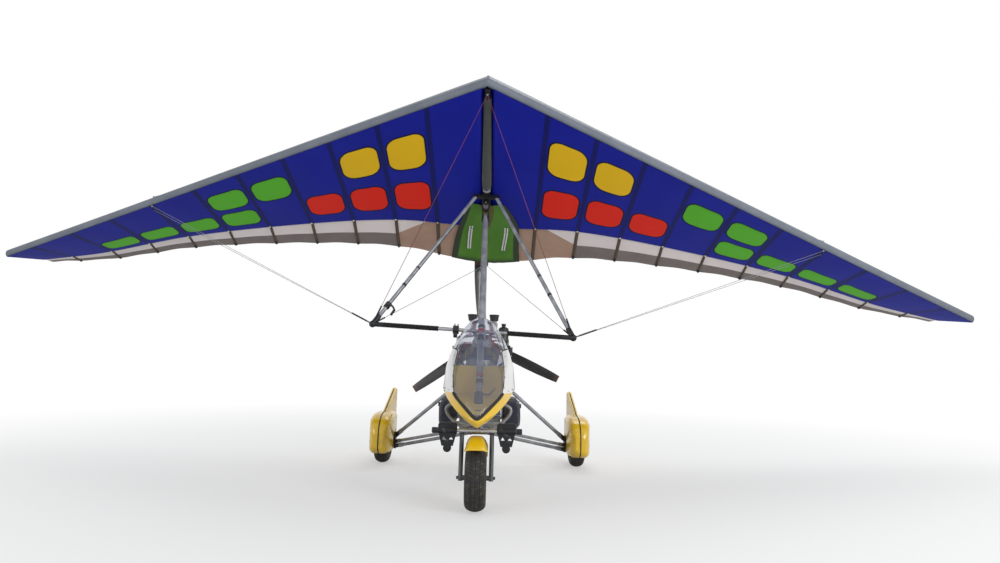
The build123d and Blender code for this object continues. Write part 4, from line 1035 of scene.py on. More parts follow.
lower_points, lower_cell, lower_hue, lower_uv = [], [], [], []
signed_places = [-place for place in reversed(span_places()[1:])] + span_places()
for x in signed_places:
    reach = abs(x)
    lead_y, lead_z, chord, tail_y, tail_z, camber = rib_at(reach)
    join_y = lead_y + join_share * chord
    join_z = upper_height(reach, join_share) - 0.006
    start_y, start_z = lead_y + 0.012, lead_z - edge_radius - 0.001
    skin_length = join_y - start_y
    bay = bay_of(x)
    across_bay = sin(pi * (bay % 1)) ** 2
    for step in range(chord_steps + 1):
        share = step / chord_steps
        y = start_y + skin_length * share
        sag = 0.010 * across_bay * sin(pi * share) * min(1, skin_length)
        z = start_z + (join_z - start_z) * share - sag - 0.004
        z += keel_lift(x, z) * min(1, share * 40)
        z = min(z, upper_height(reach, (y - lead_y) / chord) - 0.005)
        lower_points.append(wing_place @ Vector((x, y, z)))
        distance, colour = cell_distance(x, share * skin_length, skin_length)
        lower_cell.append(distance)
        lower_hue.append(colour)
        lower_uv.append((bay, share))
lower_skin = mesh_object("sail_lower_skin", lower_points, grid_faces(len(signed_places), chord_steps + 1, flip=True))
set_attribute(lower_skin, "cell_edge", lower_cell)
set_attribute(lower_skin, "cell_hue", lower_hue)
set_attribute(lower_skin, "bay", [pair[0] for pair in lower_uv])
set_attribute(lower_skin, "share", [pair[1] for pair in lower_uv])
print("lower skin faces:", len(lower_skin.data.polygons))

# %% Upper skin
wrap_steps, top_steps = 10, 64
upper_points, upper_bay, upper_share, upper_reach = [], [], [], []
for x in signed_places:
    reach = abs(x)
    lead_y, lead_z, chord, tail_y, tail_z, camber = rib_at(reach)
    bay = bay_of(x)
    across_bay = sin(pi * (bay % 1)) ** 2
    # round the leading edge, from under it to the top
    for step in range(wrap_steps):
        angle = radians(-115 + 175 * step / wrap_steps)
        y = lead_y + 0.008 - edge_radius * cos(angle)
        z = lead_z + edge_radius * sin(angle)
        upper_points.append(wing_place @ Vector((x, y, z)))
        upper_bay.append(bay)
        upper_share.append(0.0)
        upper_reach.append(edge_radius * (angle + radians(115)))
    for step in range(top_steps + 1):
        share = (step / top_steps) ** 1.25
        share = 0.006 + share * 0.994
        y = lead_y + chord * share
        hollow = 0.012 * across_bay * max(0, (share - 0.8) / 0.2) ** 2
        billow = 0.012 * across_bay * sin(pi * min(1, share * 1.1)) * min(1, chord)
        z = upper_height(reach, share) + billow
        upper_points.append(wing_place @ Vector((x, y - hollow, z)))
        upper_bay.append(bay)
        upper_share.append(share)
        upper_reach.append(edge_radius * radians(175) + chord * share)
upper_skin = mesh_object("sail_upper_skin", upper_points, grid_faces(len(signed_places), wrap_steps + top_steps + 1))
set_attribute(upper_skin, "bay", upper_bay)
set_attribute(upper_skin, "share", upper_share)
set_attribute(upper_skin, "reach", upper_reach)
print("upper skin faces:", len(upper_skin.data.polygons))

# %% [markdown]
# ## Sailcloth
# Sailcloth is tightly woven and slightly shiny. The upper skin shows its batten pockets as darker lines;
# on the underside the battens' shadow, as where light comes through the cloth, is painted in as darker
# bars. The underside is dyed; the back of the upper skin is left white and ends in a grey band along the trailing edge.

# %% Sailcloth finishes


def batten_line(cloth, half_width_bays):
    """1 on a batten, 0 between them, from the bay number stored on the cloth."""
    bay = cloth.attribute("bay").outputs["Fac"]
    off = cloth.math("ABSOLUTE", cloth.math("SUBTRACT", bay, cloth.math("ROUND", bay)))
    line = cloth.math("LESS_THAN", off, half_width_bays)
    past_first = cloth.math("GREATER_THAN", bay, 0.5)
    before_tip = cloth.math("LESS_THAN", bay, 10.5)
    return cloth.math("MULTIPLY", cloth.math("MULTIPLY", line, past_first), before_tip)


def crinkle(cloth):
    """Fine weave and shallow creases of tight sailcloth."""
    cloth.bump(cloth.clouds(3.2, 5, (1, 2.4, 1)), 0.35, 0.006)
    cloth.grain(900, 1, 0.12, 0.0003)


lower_cloth = Finish("sail_blue", screen_colour(14, 28, 150), 0.62)
lower_cloth.level("Specular IOR Level", 0.16)
edge = lower_cloth.attribute("cell_edge").outputs["Fac"]
hue = lower_cloth.attribute("cell_hue").outputs["Fac"]
yellow_cell, red_cell, green_cell = screen_colour(222, 178, 22), screen_colour(218, 34, 14), screen_colour(84, 172, 40)
cell_colour = lower_cloth.blend(lower_cloth.ramp(hue, 0.45, 0.55), yellow_cell, red_cell)
cell_colour = lower_cloth.blend(lower_cloth.ramp(hue, 1.45, 1.55), cell_colour, green_cell)
ground_colour = lower_cloth.mixed(2.4, 4, (8, 18, 128), (14, 28, 152))
with_outline = lower_cloth.blend(lower_cloth.ramp(edge, -0.002, 0.002, 1, 0), screen_colour(8, 12, 40), cell_colour)
on_ground = lower_cloth.blend(lower_cloth.ramp(edge, 0.014, 0.018), with_outline, ground_colour)
# Painted shadow: each batten darkens the underside in a bar, as if light came through the cloth.
shadowed = lower_cloth.math("MULTIPLY", batten_line(lower_cloth, 0.05), 0.62)
lower_cloth.tint(lower_cloth.blend(shadowed, on_ground, screen_colour(8, 12, 26)))
crinkle(lower_cloth)

upper_cloth = Finish("sail_white", screen_colour(214, 208, 204), 0.6)
upper_cloth.level("Specular IOR Level", 0.25)
share = upper_cloth.attribute("share").outputs["Fac"]
wrap = upper_cloth.attribute("reach").outputs["Fac"]
bay = upper_cloth.attribute("bay").outputs["Fac"]
silver = upper_cloth.mixed(5, 4, (96, 102, 112), (128, 133, 142))
plain = upper_cloth.mixed(2.2, 4, (204, 194, 194), (222, 214, 212))
band_colour = upper_cloth.mixed(7, 4, (104, 96, 94), (126, 116, 112))
body = upper_cloth.blend(upper_cloth.ramp(wrap, 0.215, 0.217), silver, plain)
# Behind the join the two bays nearest the keel are tan, over the grey band too; the patch's front edge slants back
# across the outer part of the second bay.
tan_colour = upper_cloth.mixed(7, 4, (150, 122, 106), (172, 142, 124))
band = upper_cloth.blend(upper_cloth.ramp(share, 0.888, 0.89), body, band_colour)
slant = upper_cloth.math("MULTIPLY", upper_cloth.math("MAXIMUM", upper_cloth.math("SUBTRACT", bay, 1.2), 0.0), 0.1375)
slanted_front = upper_cloth.ramp(upper_cloth.math("SUBTRACT", share, slant), 0.775, 0.778)
inner = upper_cloth.math("MULTIPLY", slanted_front, upper_cloth.ramp(bay, 1.99, 2.01, 1, 0))
band = upper_cloth.blend(inner, band, tan_colour)
behind_edge = upper_cloth.ramp(wrap, 0.215, 0.217, 0, 0.62)
pockets = upper_cloth.math("MULTIPLY", batten_line(upper_cloth, 0.032), behind_edge)
upper_cloth.tint(upper_cloth.blend(pockets, band, screen_colour(70, 66, 62)))
crinkle(upper_cloth)

for skin, finish_name in ((lower_skin, "sail_blue"), (upper_skin, "sail_white")):
    wear(skin, finish_name)
    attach(skin, "wing")
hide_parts("sail_left", "sail_right")
print("sail sewn")


def area_of(obj):
    return sum(face.area for face in obj.data.polygons)


print("areas:", round(area_of(lower_skin), 2), round(area_of(upper_skin), 2), "square metres")

# %% Webbing helper


def webbing(name, path, side_way, width, thick=0.0022):
    """A flat strap along a path. side_way gives its width's direction."""
    points, faces = [], []
    half = Vector(side_way).normalized() * width / 2
    for index, point in enumerate(path):
        ahead_point, behind_point = path[min(index + 1, len(path) - 1)], path[max(index - 1, 0)]
        up = half.cross(ahead_point - behind_point).normalized() * thick / 2
        points.extend([point - half - up, point + half - up, point + half + up, point - half + up])
    for index in range(len(path) - 1):
        a, b = index * 4, index * 4 + 4
        for side in range(4):
            other = (side + 1) % 4
            faces.append((a + side, a + other, b + other, b + side))
    end = (len(path) - 1) * 4
    faces.extend([(3, 2, 1, 0), (end, end + 1, end + 2, end + 3)])
    strap_object = mesh_object(name, points, faces, smooth=False)
    fixed = bmesh.new()
    fixed.from_mesh(strap_object.data)
    bmesh.ops.recalc_face_normals(fixed, faces=fixed.faces)
    fixed.to_mesh(strap_object.data)
    fixed.free()
    return strap_object


print("webbing helper ready")

# %% [markdown]
# ## Pocket under the keel
# Behind the hang point a green pocket is sewn under the sail round the keel. It flares towards
# the trailing edge and has two short zips. It is one stretched sheet: narrow at the front,
# wide at the back, drawn down in the middle by the keel.

# %% Keel pocket
pocket_front = 0.07


def under_sail(x, y):
    """Height of the sail's lowest cloth at this place in the wing's frame."""
    lead_y, lead_z, chord, tail_y, tail_z, camber = rib_at(abs(x))
    share = (y - lead_y) / chord
    if share >= join_share:
        return upper_height(abs(x), min(share, 1.0))
    start_y, start_z = lead_y + 0.012, lead_z - edge_radius - 0.001
    join_z = upper_height(abs(x), join_share) - 0.006
    return start_z + (join_z - start_z) * (y - start_y) / (lead_y + join_share * chord - start_y)


def pocket_point(across_share, along_share):
    """A point of the pocket, from -1 to 1 across and 0 to 1 along."""
    left, right = -0.165 - 0.178 * along_share, 0.168 + 0.176 * sin(min(1.0, along_share * 1.7) * pi / 2)
    middle, half = (left + right) / 2 * (1 - along_share), (right - left) / 2
    x = middle + half * across_share
    lead_y, lead_z, chord, *rest = rib_at(abs(x))
    y = pocket_front + (lead_y + chord - 0.014 - pocket_front) * along_share
    keel_low = 0.082 - 0.006 * sin(pi * along_share)
    skin = under_sail(x, y) - 0.014
    drawn = (1 - abs(across_share)) ** 1.25
    wrinkle = 0.0022 * sin(across_share * 23 + along_share * 5) * along_share * (1 - abs(across_share))
    return Vector((x, y, min(skin, skin + (keel_low - skin) * drawn) + wrinkle))


pocket_rows, pocket_columns = 36, 44
pocket_points, pocket_across, pocket_along = [], [], []
for row in range(pocket_rows + 1):
    for column in range(pocket_columns + 1):
        across_share, along_share = 2 * column / pocket_columns - 1, row / pocket_rows
        pocket_points.append(wing_place @ pocket_point(across_share, along_share))
        pocket_across.append(across_share)
        pocket_along.append(along_share)
pocket = mesh_object("keel_pocket", pocket_points, grid_faces(pocket_rows + 1, pocket_columns + 1))
set_attribute(pocket, "over", pocket_across)
set_attribute(pocket, "along", pocket_along)
pocket_cloth = Finish("cloth_pocket", screen_colour(70, 112, 44), 0.7)
pocket_cloth.level("Specular IOR Level", 0.2)
over = pocket_cloth.attribute("over").outputs["Fac"]
along = pocket_cloth.attribute("along").outputs["Fac"]
side_way = pocket_cloth.math("ABSOLUTE", over)
green = pocket_cloth.mixed(5, 4, (60, 104, 36), (86, 132, 50))
hem_side = pocket_cloth.ramp(side_way, 0.80, 0.84)
hem_back = pocket_cloth.ramp(along, 0.90, 1.0)
hem = pocket_cloth.math("MAXIMUM", hem_side, hem_back)
olive = pocket_cloth.ramp(pocket_cloth.math("ADD", along, side_way), 0.36, 0.40, 1, 0)
green = pocket_cloth.blend(olive, green, screen_colour(84, 80, 44))
pocket_cloth.tint(pocket_cloth.blend(hem, green, screen_colour(52, 62, 46)))
pocket_cloth.bump(pocket_cloth.clouds(5, 5, (1, 2, 1)), 0.4, 0.008)
pocket_cloth.grain(900, 1, 0.15, 0.0003)
fit_out(pocket, "wing", "cloth_pocket")
print("pocket:", round(area_of(pocket), 3), "square metres")

# %% Zips of the pocket
zip_lines, zip_tapes = [], []
for side in (-1, 1):
    line = []
    for step in range(9):
        on_pocket = pocket_point(side * (0.60 - 0.08 * step / 8), 0.40 + 0.38 * step / 8)
        line.append(wing_place @ (on_pocket - Vector((0, 0, 0.004))))
    zip_lines.append(line)
    gather(zip_tapes, webbing("tape", line, wing_turn @ Vector((1, 0, 0)), 0.036, 0.0030), "fitting_white")
fit_out(join_pieces("pocket_zips", zip_tapes), "wing")
teeth_lines = [[point - Vector((0, 0.003, 0.003)) for point in line] for line in zip_lines]
pocket_teeth = grow_along("pocket_zip_teeth", "steps", teeth_lines,
                          {"Spacing": 0.006, "Length": 0.0035, "Width": 0.013, "Height": 0.004}, "rubber_black")
fit_out(pocket_teeth, "wing")
print("zip teeth faces:", len(pocket_teeth.data.polygons))

# %% [markdown]
# ## Padded sleeve on the keel
# From the nose to the hang bracket the keel wears a dark sleeve. It is a soft tube, so its
# section swells and wrinkles a little between its ends, and a collar closes it by the bracket.

# %% Keel sleeve
sleeve_front, sleeve_back, sleeve_sides = -1.16, -0.118, 36
sleeve_points, sleeve_steps = [], 70
for step in range(sleeve_steps + 1):
    share = step / sleeve_steps
    y = sleeve_front + (sleeve_back - sleeve_front) * share
    swollen = 0.0285 + 0.0150 * share * (1 - exp(-(1 - share) * 30))
    for number in range(sleeve_sides):
        angle = 2 * pi * number / sleeve_sides
        ruck = 0.0010 * noise.noise(Vector((cos(angle) * 1.5, sin(angle) * 1.5, y * 26)))
        radius = swollen + ruck
        sleeve_points.append(wing_place @ Vector((radius * cos(angle), y, 0.120 + radius * sin(angle))))
sleeve = mesh_object("keel_sleeve", sleeve_points, ring_faces(sleeve_steps, sleeve_sides))
fit_out(sleeve, "wing", "cloth_keel")
collar = turned("keel_collar", wing_place @ Vector((0, -0.126, 0.120)), wing_turn @ Vector((0, 1, 0)),
                [(0.0272, 0), (0.0345, 0), (0.0358, 0.004), (0.0358, 0.020), (0.0345, 0.024), (0.0272, 0.024)])
fit_out(collar, "wing", "tube_grey")
print("sleeve:", round(area_of(sleeve), 3), "square metres")

# %% [markdown]
# ## Batten pockets and their ends
# Each batten lies in a pocket. Where the sail is single, behind the join, the pocket shows as a
# brown bar, and the batten's end is tied off with a small black fitting and an orange tip.
# A white toggle closes the lower skin where each batten crosses the join.

# %% Batten pockets
pocket_bars, end_points, end_aims, toggle_points, toggle_aims, tip_points = [], [], [], [], [], []
down = wing_turn @ Vector((0, 0, -1))
aft = wing_turn @ Vector((0, 1, 0))
for side in (-1, 1):
    for number, place in enumerate(battens):
        lead_y, lead_z, chord, tail_y, tail_z, camber = rib_at(place)
        rows, half_width = 14, 0.017 - 0.0006 * number
        points, faces = [], []
        for row in range(rows + 1):
            share = join_share + 0.004 + (1.0 - join_share - 0.008) * row / rows
            z = upper_height(place, share) - 0.0035
            for column, (shift, drop) in enumerate(((-1.0, 0.0), (-0.5, 0.006), (0.0, 0.0085), (0.5, 0.006), (1.0, 0.0))):
                points.append(wing_place @ Vector((side * place + half_width * shift, lead_y + chord * share, z - drop)))
        for row in range(rows):
            for column in range(4):
                a = row * 5 + column
                faces.append((a, a + 1, a + 6, a + 5))
        gather(pocket_bars, mesh_object("bar", points, faces), "batten_brown")
        tail = wing_place @ Vector((side * place, tail_y - 0.016, tail_z - 0.006))
        end_points.extend([tail, tail - aft * 0.022 + down * 0.003])
        end_aims.extend([down, down])
        tip_points.append(tail + aft * 0.009)
        join_z = upper_height(place, join_share) - 0.016
        toggle_points.append(wing_place @ Vector((side * place, lead_y + join_share * chord - 0.010, join_z)))
        toggle_aims.append(down)
fit_out(join_pieces("batten_pockets", pocket_bars), "wing")
print("batten pockets:", len(battens) * 2)

# %% Batten fittings
ends = heads("batten_ends", end_points, end_aims, 0.013, 0.012, 8, 0.8, "rubber_black")
tips = heads("batten_tips", tip_points, [down] * len(tip_points), 0.007, 0.008, 8, 0.7, "fitting_orange")
toggles = heads("join_toggles", toggle_points, toggle_aims, 0.009, 0.007, 8, 0.6, "fitting_white")
for piece in (ends, tips, toggles):
    fit_out(piece, "wing")
seam_lines = []
for side in (-1, 1):
    line = []
    for step in range(1, 100):
        x = half_span * step / 100
        lead_y, lead_z, chord, *rest = rib_at(x)
        below_join = upper_height(x, join_share) - 0.0145
        line.append(wing_place @ Vector((side * x, lead_y + join_share * chord - 0.012, below_join)))
    seam_lines.append(line)
join_seam = grow_along("join_stitches", "steps", seam_lines,
                       {"Spacing": 0.03, "Length": 0.018, "Width": 0.0022, "Height": 0.0012}, "thread_grey")
fit_out(join_seam, "wing")
print("fitting faces:", len(ends.data.polygons) + len(toggles.data.polygons), " seam faces:", len(join_seam.data.polygons))

# %% [markdown]
# ## Rigging wires
# Stays run from the corners of the control frame to the nose, the tail and the leading edges.
# The pair to the nose wears a reddish coating, and the side pair is doubled. Their lower ends
# pass through black sleeves. Taut wires are straight, so each is one round bar.

# %% Wires
corners = {side: Vector((side * 0.784, -0.062, -1.302)) for side in (-1, 1)}


def tube_line(x):
    """The axis of the leading edge at this distance from the keel."""
    share = x / half_span
    return Vector((0, -1.308 + 2.442 * share + 0.008, 0.120 - 0.198 * share))


def straight(name, start, stop, radius, sides):
    """A straight bar between two places in the wing's own frame."""
    return line_curve(name, [wing_place @ start, wing_place @ stop], radius, smooth=False, sides=sides)


stay_x, wire_radius = 3.1, 0.0021
edge_low = tube_line(stay_x) + Vector((0, 0.012, -0.0453))
nose_low, tail_low = Vector((0, -1.213, 0.0847)), Vector((0, 0.995, 0.0847))
wires, sleeves = [], []
for side in (-1, 1):
    corner = corners[side]
    edge_end = edge_low + Vector((side * stay_x, 0, 0))
    for end, sleeve_end, finish_name in ((nose_low, 0.16, "wire_red"), (tail_low, 0.16, "steel_wire"),
                                         (edge_end, 0.21, "steel_wire")):
        reach = (end - corner).normalized()
        gather(wires, straight("wire", corner + reach * 0.0703, end - reach * 0.0093, wire_radius, 1), finish_name)
        gather(sleeves, straight("sleeve", corner + reach * 0.058, corner + reach * sleeve_end, 0.0066, 2), "rubber_black")
    doubled = edge_end + Vector((side * 0.012, 0.055, 0.004))
    reach = (doubled - corner).normalized()
    start = corner + reach * 0.10 + Vector((0, 0.006, 0))
    gather(wires, straight("wire", start, doubled - reach * 0.012, wire_radius, 1), "steel_wire")
rigging = fit_out(join_pieces("lower_rigging", wires), "wing")
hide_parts("lower_stays")
fit_out(join_pieces("wire_sleeves", sleeves), "wing")
print("lower wires:", len(wires))

# %% [markdown]
# ## Control bar
# Each hand has a black foam grip that is moulded in rings; the middle of the bar stays bare. A
# clamp with two prongs and, on one upright, the crank of the trim line are small black parts.

# %% Grips, clamp and crank
grips = []
for side in (-1, 1):
    start, stop = Vector((side * 0.272, -0.062, -1.302)), Vector((side * 0.690, -0.062, -1.302))
    gather(grips, straight("core", start, stop, 0.0178, 4), "foam_black")
    line = [wing_place @ (start + (stop - start) * step / 20) for step in range(21)]
    ring_sizes = {"Spacing": 0.0105, "Radius": 0.0165, "Bulge": 0.0040}
    grips.append(grow_along("grip_rings", "rings", [line], ring_sizes, "foam_black"))
fit_out(join_pieces("bar_grips", grips), "wing")

clamp_x = -0.131
clamp_parts = []
for shift, size in (((0, 0, 0), (0.046, 0.048, 0.050)), ((0, 0.004, -0.040), (0.030, 0.034, 0.040)),
                    ((-0.012, 0, 0.036), (0.008, 0.012, 0.034)), ((0.012, 0, 0.036), (0.008, 0.012, 0.034)),
                    ((0, 0, 0.024), (0.036, 0.020, 0.008))):
    place = wing_place @ Vector((clamp_x + shift[0], -0.062 + shift[1], -1.302 + shift[2]))
    gather(clamp_parts, rounded_box("clamp_part", place, size, 0.003, wing_turn.to_4x4()), "plastic_black")
fit_out(join_pieces("bar_clamp", clamp_parts), "wing")

upright_foot, upright_head = corners[-1], Vector((-0.100, -0.062, 0.060))
upright_way = (upright_head - upright_foot).normalized()
crank_seat = upright_foot + upright_way * 0.20
crank_parts = [turned("crank_part", wing_place @ (crank_seat - upright_way * 0.026), wing_turn @ upright_way,
                      [(0.0165, 0), (0.023, 0.0), (0.0245, 0.003), (0.0245, 0.049), (0.023, 0.052), (0.0165, 0.052)])]
out = Vector((0.45, -0.86, -0.2)).normalized()
hub = crank_seat + out * 0.026
crank_parts.append(straight("crank_part", crank_seat, hub + out * 0.016, 0.012, 3))
arm_end = hub + out * 0.012 + Vector((0.050, -0.004, -0.052))
arm_line = [hub + out * 0.010, hub + out * 0.020 + Vector((0.03, 0, -0.012)), arm_end]
crank_parts.append(line_curve("crank_part", [wing_place @ point for point in arm_line], 0.0075))
crank_parts.append(straight("crank_part", arm_end, arm_end + Vector((-0.018, -0.006, -0.050)), 0.0105, 3))
for part in crank_parts:
    wear(part, "plastic_black")
fit_out(join_pieces("trim_crank", crank_parts), "wing")

trim_line = [wing_place @ (crank_seat + upright_way * 0.03 + Vector((0.020, -0.006, 0)))]
trim_line += [wing_place @ (upright_foot + upright_way * reach + Vector((0.0195, -0.004, 0))) for reach in (0.5, 0.9, 1.3)]
fit_out(line_curve("trim_line", trim_line, 0.0022, sides=1), "wing", "hose_black")
bands = []
for side in (-1, 1):
    foot = corners[side]
    way = (Vector((side * 0.100, -0.062, 0.060)) - foot).normalized()
    for reach, width in ((0.42, 0.018), (0.62, 0.012)):
        gather(bands, turned("band", wing_place @ (foot + way * reach), wing_turn @ way,
                             [(0.0162, 0), (0.0182, 0.001), (0.0182, width), (0.0162, width + 0.001)], 20), "rubber_black")
fit_out(join_pieces("upright_bands", bands), "wing")
print("bar fittings done")

# %% [markdown]
# ## Pointed arch of the pod
# Seen from ahead, the screen and the side panels lean in to a narrow arch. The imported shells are
# rounder there. Each is copied, its doubles are merged and its long edges cut, and the width is
# drawn in with height by one smooth rule, so that no highlight breaks and the joint stays closed.

# %% Draw the shells in
arch_foot, arch_rise, arch_draw = 0.90, 0.34, 0.33


def drawn_in(z):
    share = min(1.0, max(0.0, (z - arch_foot) / arch_rise))
    return 1 - arch_draw * share * share * (3 - 2 * share)


for node_name, new_name, slot_name, finish_name in (("windscreen", "screen_shell", "screen", "screen_clear"),
                                                    ("pod_sides", "side_panels", "white_shell", "shell_white")):
    shape = bmesh.new()
    shape.from_mesh(nodes[node_name].data)
    bmesh.ops.remove_doubles(shape, verts=shape.verts, dist=1e-6)
    for cut in range(4):
        long_edges = [edge for edge in shape.edges if edge.calc_length() > 0.03]
        bmesh.ops.subdivide_edges(shape, edges=long_edges, cuts=1)
        bmesh.ops.triangulate(shape, faces=[face for face in shape.faces if len(face.verts) > 3])
    for corner in shape.verts:
        corner.co.x *= drawn_in(corner.co.z)
    drawn = from_shape(new_name, shape)
    drawn.data.polygons.foreach_set("use_smooth", [True] * len(drawn.data.polygons))
    drawn.data.set_sharp_from_angle(angle=radians(32))
    fit_out(drawn, "trike", finish_name)
    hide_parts(node_name)
    nodes[new_name] = drawn
    print(new_name, "faces:", len(drawn.data.polygons))

# %% [markdown]
# ## Finding a place on a packed surface
# Trim, screws and seams have to lie on shells that are curved both ways. A ray from outside
# finds the surface and the way it faces, so a small part can be set there to the millimetre.

# %% Rays onto the shells
from mathutils.bvhtree import BVHTree


def surface_of(*names):
    """Several nodes' surfaces as one tree for rays."""
    points, faces = [], []
    for name in names:
        start = len(points)
        mesh = nodes[name].data
        points.extend(nodes[name].matrix_world @ corner.co for corner in mesh.vertices)
        faces.extend([start + index for index in face.vertices] for face in mesh.polygons)
    return BVHTree.FromPolygons(points, faces)


def hit(surface, start, way, lift=0.0):
    """The first place that a ray meets, raised by lift, and the way the surface faces there."""
    place, facing, index, reach = surface.ray_cast(Vector(start), Vector(way).normalized())
    if place is None:
        return None, None
    if facing.dot(Vector(way)) > 0:
        facing = -facing
    return place + facing * lift, facing


def hits(surface, rays, lift=0.0):
    """Place and facing for each ray, given as start and way. Rays that miss are left out."""
    found = [hit(surface, start, way, lift) for start, way in rays]
    return [pair for pair in found if pair[0] is not None]


shell = surface_of("pod_lower", "side_panels", "screen_shell")
nose_hit, nose_way = hit(shell, (0, -3, 0.70), (0, 1, 0))
print("pod skin on the centre line, 0.70 m up:", [round(value, 3) for value in nose_hit])

# %% [markdown]
# ## Edge of the screen
# The clear screen is bound by a black rubber edge. It comes down both sides, follows the white
# panels and ends in a bold V over the yellow nose. The line is found on the shell, point by
# point, and swept with a round section.

# %% Screen edging
screen_side = [(0.230, 1.053), (0.205, 1.046), (0.185, 1.040), (0.172, 1.030), (0.170, 1.000), (0.170, 0.940),
               (0.170, 0.880), (0.170, 0.820), (0.163, 0.776), (0.156, 0.754)]
screen_side = [(x * drawn_in(z), z) for x, z in screen_side]
vee_half = [(0.162, 0.752), (0.150, 0.734), (0.128, 0.712), (0.100, 0.685), (0.072, 0.658), (0.050, 0.637),
            (0.030, 0.618), (0.014, 0.606)]
screen_vee = vee_half + [(0, 0.601)] + [(-x, z) for x, z in reversed(vee_half)]


def on_shell(pairs, lift=0.001):
    """Places on the pod's shell for pairs of x and z seen from the front."""
    return [place for place, facing in hits(shell, [((x, -3, z), (0, 1, 0)) for x, z in pairs], lift)]


edging, rim_middle = [], Vector((0, -0.708, 0.92))
for side in (-1, 1):
    edging.append(line_curve("edging", on_shell([(side * x, z) for x, z in screen_side]), 0.0042, sides=2))
edging.append(line_curve("edging", on_shell(screen_vee, 0.0005), 0.0115, sides=3))
for side in (-1, 1):
    rays = []
    for step in range(11):
        angle = radians(6 + 78 * step / 10)
        outward = Vector((side * cos(angle), 0, sin(angle)))
        rays.append((rim_middle + outward * 1.2, -outward))
    rim = [place for place, facing in hits(shell, rays, 0.001)]
    edging.append(line_curve("edging", rim, 0.005, sides=2))
for piece in edging:
    wear(piece, "rubber_black")
fit_out(join_pieces("screen_edging", edging), "trike")
print("edging lines:", len(edging))

# %% Yellow lining inside the nose
lining_rows = [  # y, height of the middle, height at the sides, half width
    (-0.914, 0.716, 0.722, 0.205), (-1.02, 0.690, 0.716, 0.200), (-1.14, 0.662, 0.700, 0.180), (-1.26, 0.642, 0.690, 0.158),
    (-1.37, 0.626, 0.682, 0.126), (-1.47, 0.612, 0.668, 0.092),
]
lining_points, lining_columns = [], 16
for y, middle, sides_height, half in lining_rows:
    for column in range(lining_columns + 1):
        share = 2 * column / lining_columns - 1
        lining_points.append((half * share, y, middle + (sides_height - middle) * abs(share) ** 2.2))
lining = mesh_object("nose_lining", lining_points, grid_faces(len(lining_rows), lining_columns + 1, flip=True))
wall = lining.modifiers.new("wall", "SOLIDIFY")
wall.thickness = 0.003
fit_out(lining, "trike", "panel_yellow")
print("lining rows:", len(lining_rows))

# %% Screws and seam of the shell
screw_places, screw_aims, seams = [], [], []
for side in (-1, 1):
    rays = [((side * x, -3, z), (0, 1, 0)) for x, z in
            ((0.176, 0.79), (0.178, 0.86), (0.178, 0.93), (0.178, 1.00), (0.206, 0.765), (0.232, 0.775))]
    for place, facing in hits(shell, rays, 0.0002):
        screw_places.append(place)
        screw_aims.append(facing)
    seam = []
    for step in range(18):
        y = -1.235 + 0.335 * step / 17
        place, facing = hit(shell, (side * 1.0, y, 0.752), (-side, 0, 0), 0.0006)
        if place is not None:
            seam.append(place)
            if step % 3 == 1:
                above_place, above_facing = hit(shell, (side * 1.0, y, 0.768), (-side, 0, 0), 0.0002)
                screw_places.append(above_place)
                screw_aims.append(above_facing)
    gather(seams, line_curve("seam", seam, 0.0022, sides=1), "rubber_black")
fit_out(join_pieces("shell_seams", seams), "trike")
shell_screws = heads("shell_screws", screw_places, screw_aims, 0.0046, 0.0018, 12, 0.65, "rubber_black")
fit_out(shell_screws, "trike")
print("screws:", len(screw_places))

# %% [markdown]
# ## Strut fittings
# The front strut stands in a black block. A red strap with a knob goes round it above the
# panel, a wider clamp sits near the bar, and a black cable loops out of the block.

# %% Strut fittings
strut_low, strut_high = Vector((0, -1.177, 0.5685)), Vector((0, -0.075, 2.295))
strut_way = (strut_high - strut_low).normalized()


def on_strut(height):
    """The strut's axis at this height."""
    return strut_low + strut_way * ((height - strut_low.z) / strut_way.z)


fittings = []
strap_outline = [(0.0243, 0), (0.0272, 0.001), (0.0278, 0.012), (0.0272, 0.023), (0.0243, 0.024)]
gather(fittings, turned("fitting", on_strut(0.848), strut_way, strap_outline), "strap_red")
knob_seat = on_strut(0.862) + Vector((0.006, -0.026, 0))
knob_outline = [(0.004, 0), (0.012, 0.002), (0.0135, 0.008), (0.012, 0.016), (0.006, 0.019)]
gather(fittings, turned("fitting", knob_seat, (0.25, -1, 0.1), knob_outline), "strap_red")
for base, tall, wide, finish_name in ((0.800, 0.031, 0.0285, "metal_black"), (1.175, 0.030, 0.0262, "strap_red"),
                                      (1.212, 0.022, 0.0262, "rubber_black"), (1.108, 0.050, 0.0268, "oil_tank")):
    ring_outline = [(0.0243, 0), (wide, 0.001), (wide, tall - 0.001), (0.0243, tall)]
    gather(fittings, turned("fitting", on_strut(base), strut_way, ring_outline), finish_name)
socket_top = on_strut(0.735)
cable = [(0.028, -0.010, 0), (0.055, -0.018, -0.012), (0.085, -0.006, -0.006), (0.110, 0.020, 0.022), (0.120, 0.070, 0.034)]
gather(fittings, line_curve("fitting", [socket_top + Vector(place) for place in cable], 0.0045), "hose_black")
fit_out(join_pieces("strut_fittings", fittings), "trike")
print("strut fittings done")

# %% [markdown]
# ## Seams of the wheel spats, with painted shade on the fins
# Each spat is two half shells. A dark strip covers the joint from the chin and over the body. Up the
# ridge of the tail fin the same strip is painted shade along the fin's front edge. Rays towards the
# middle of the spat find its edge all round.

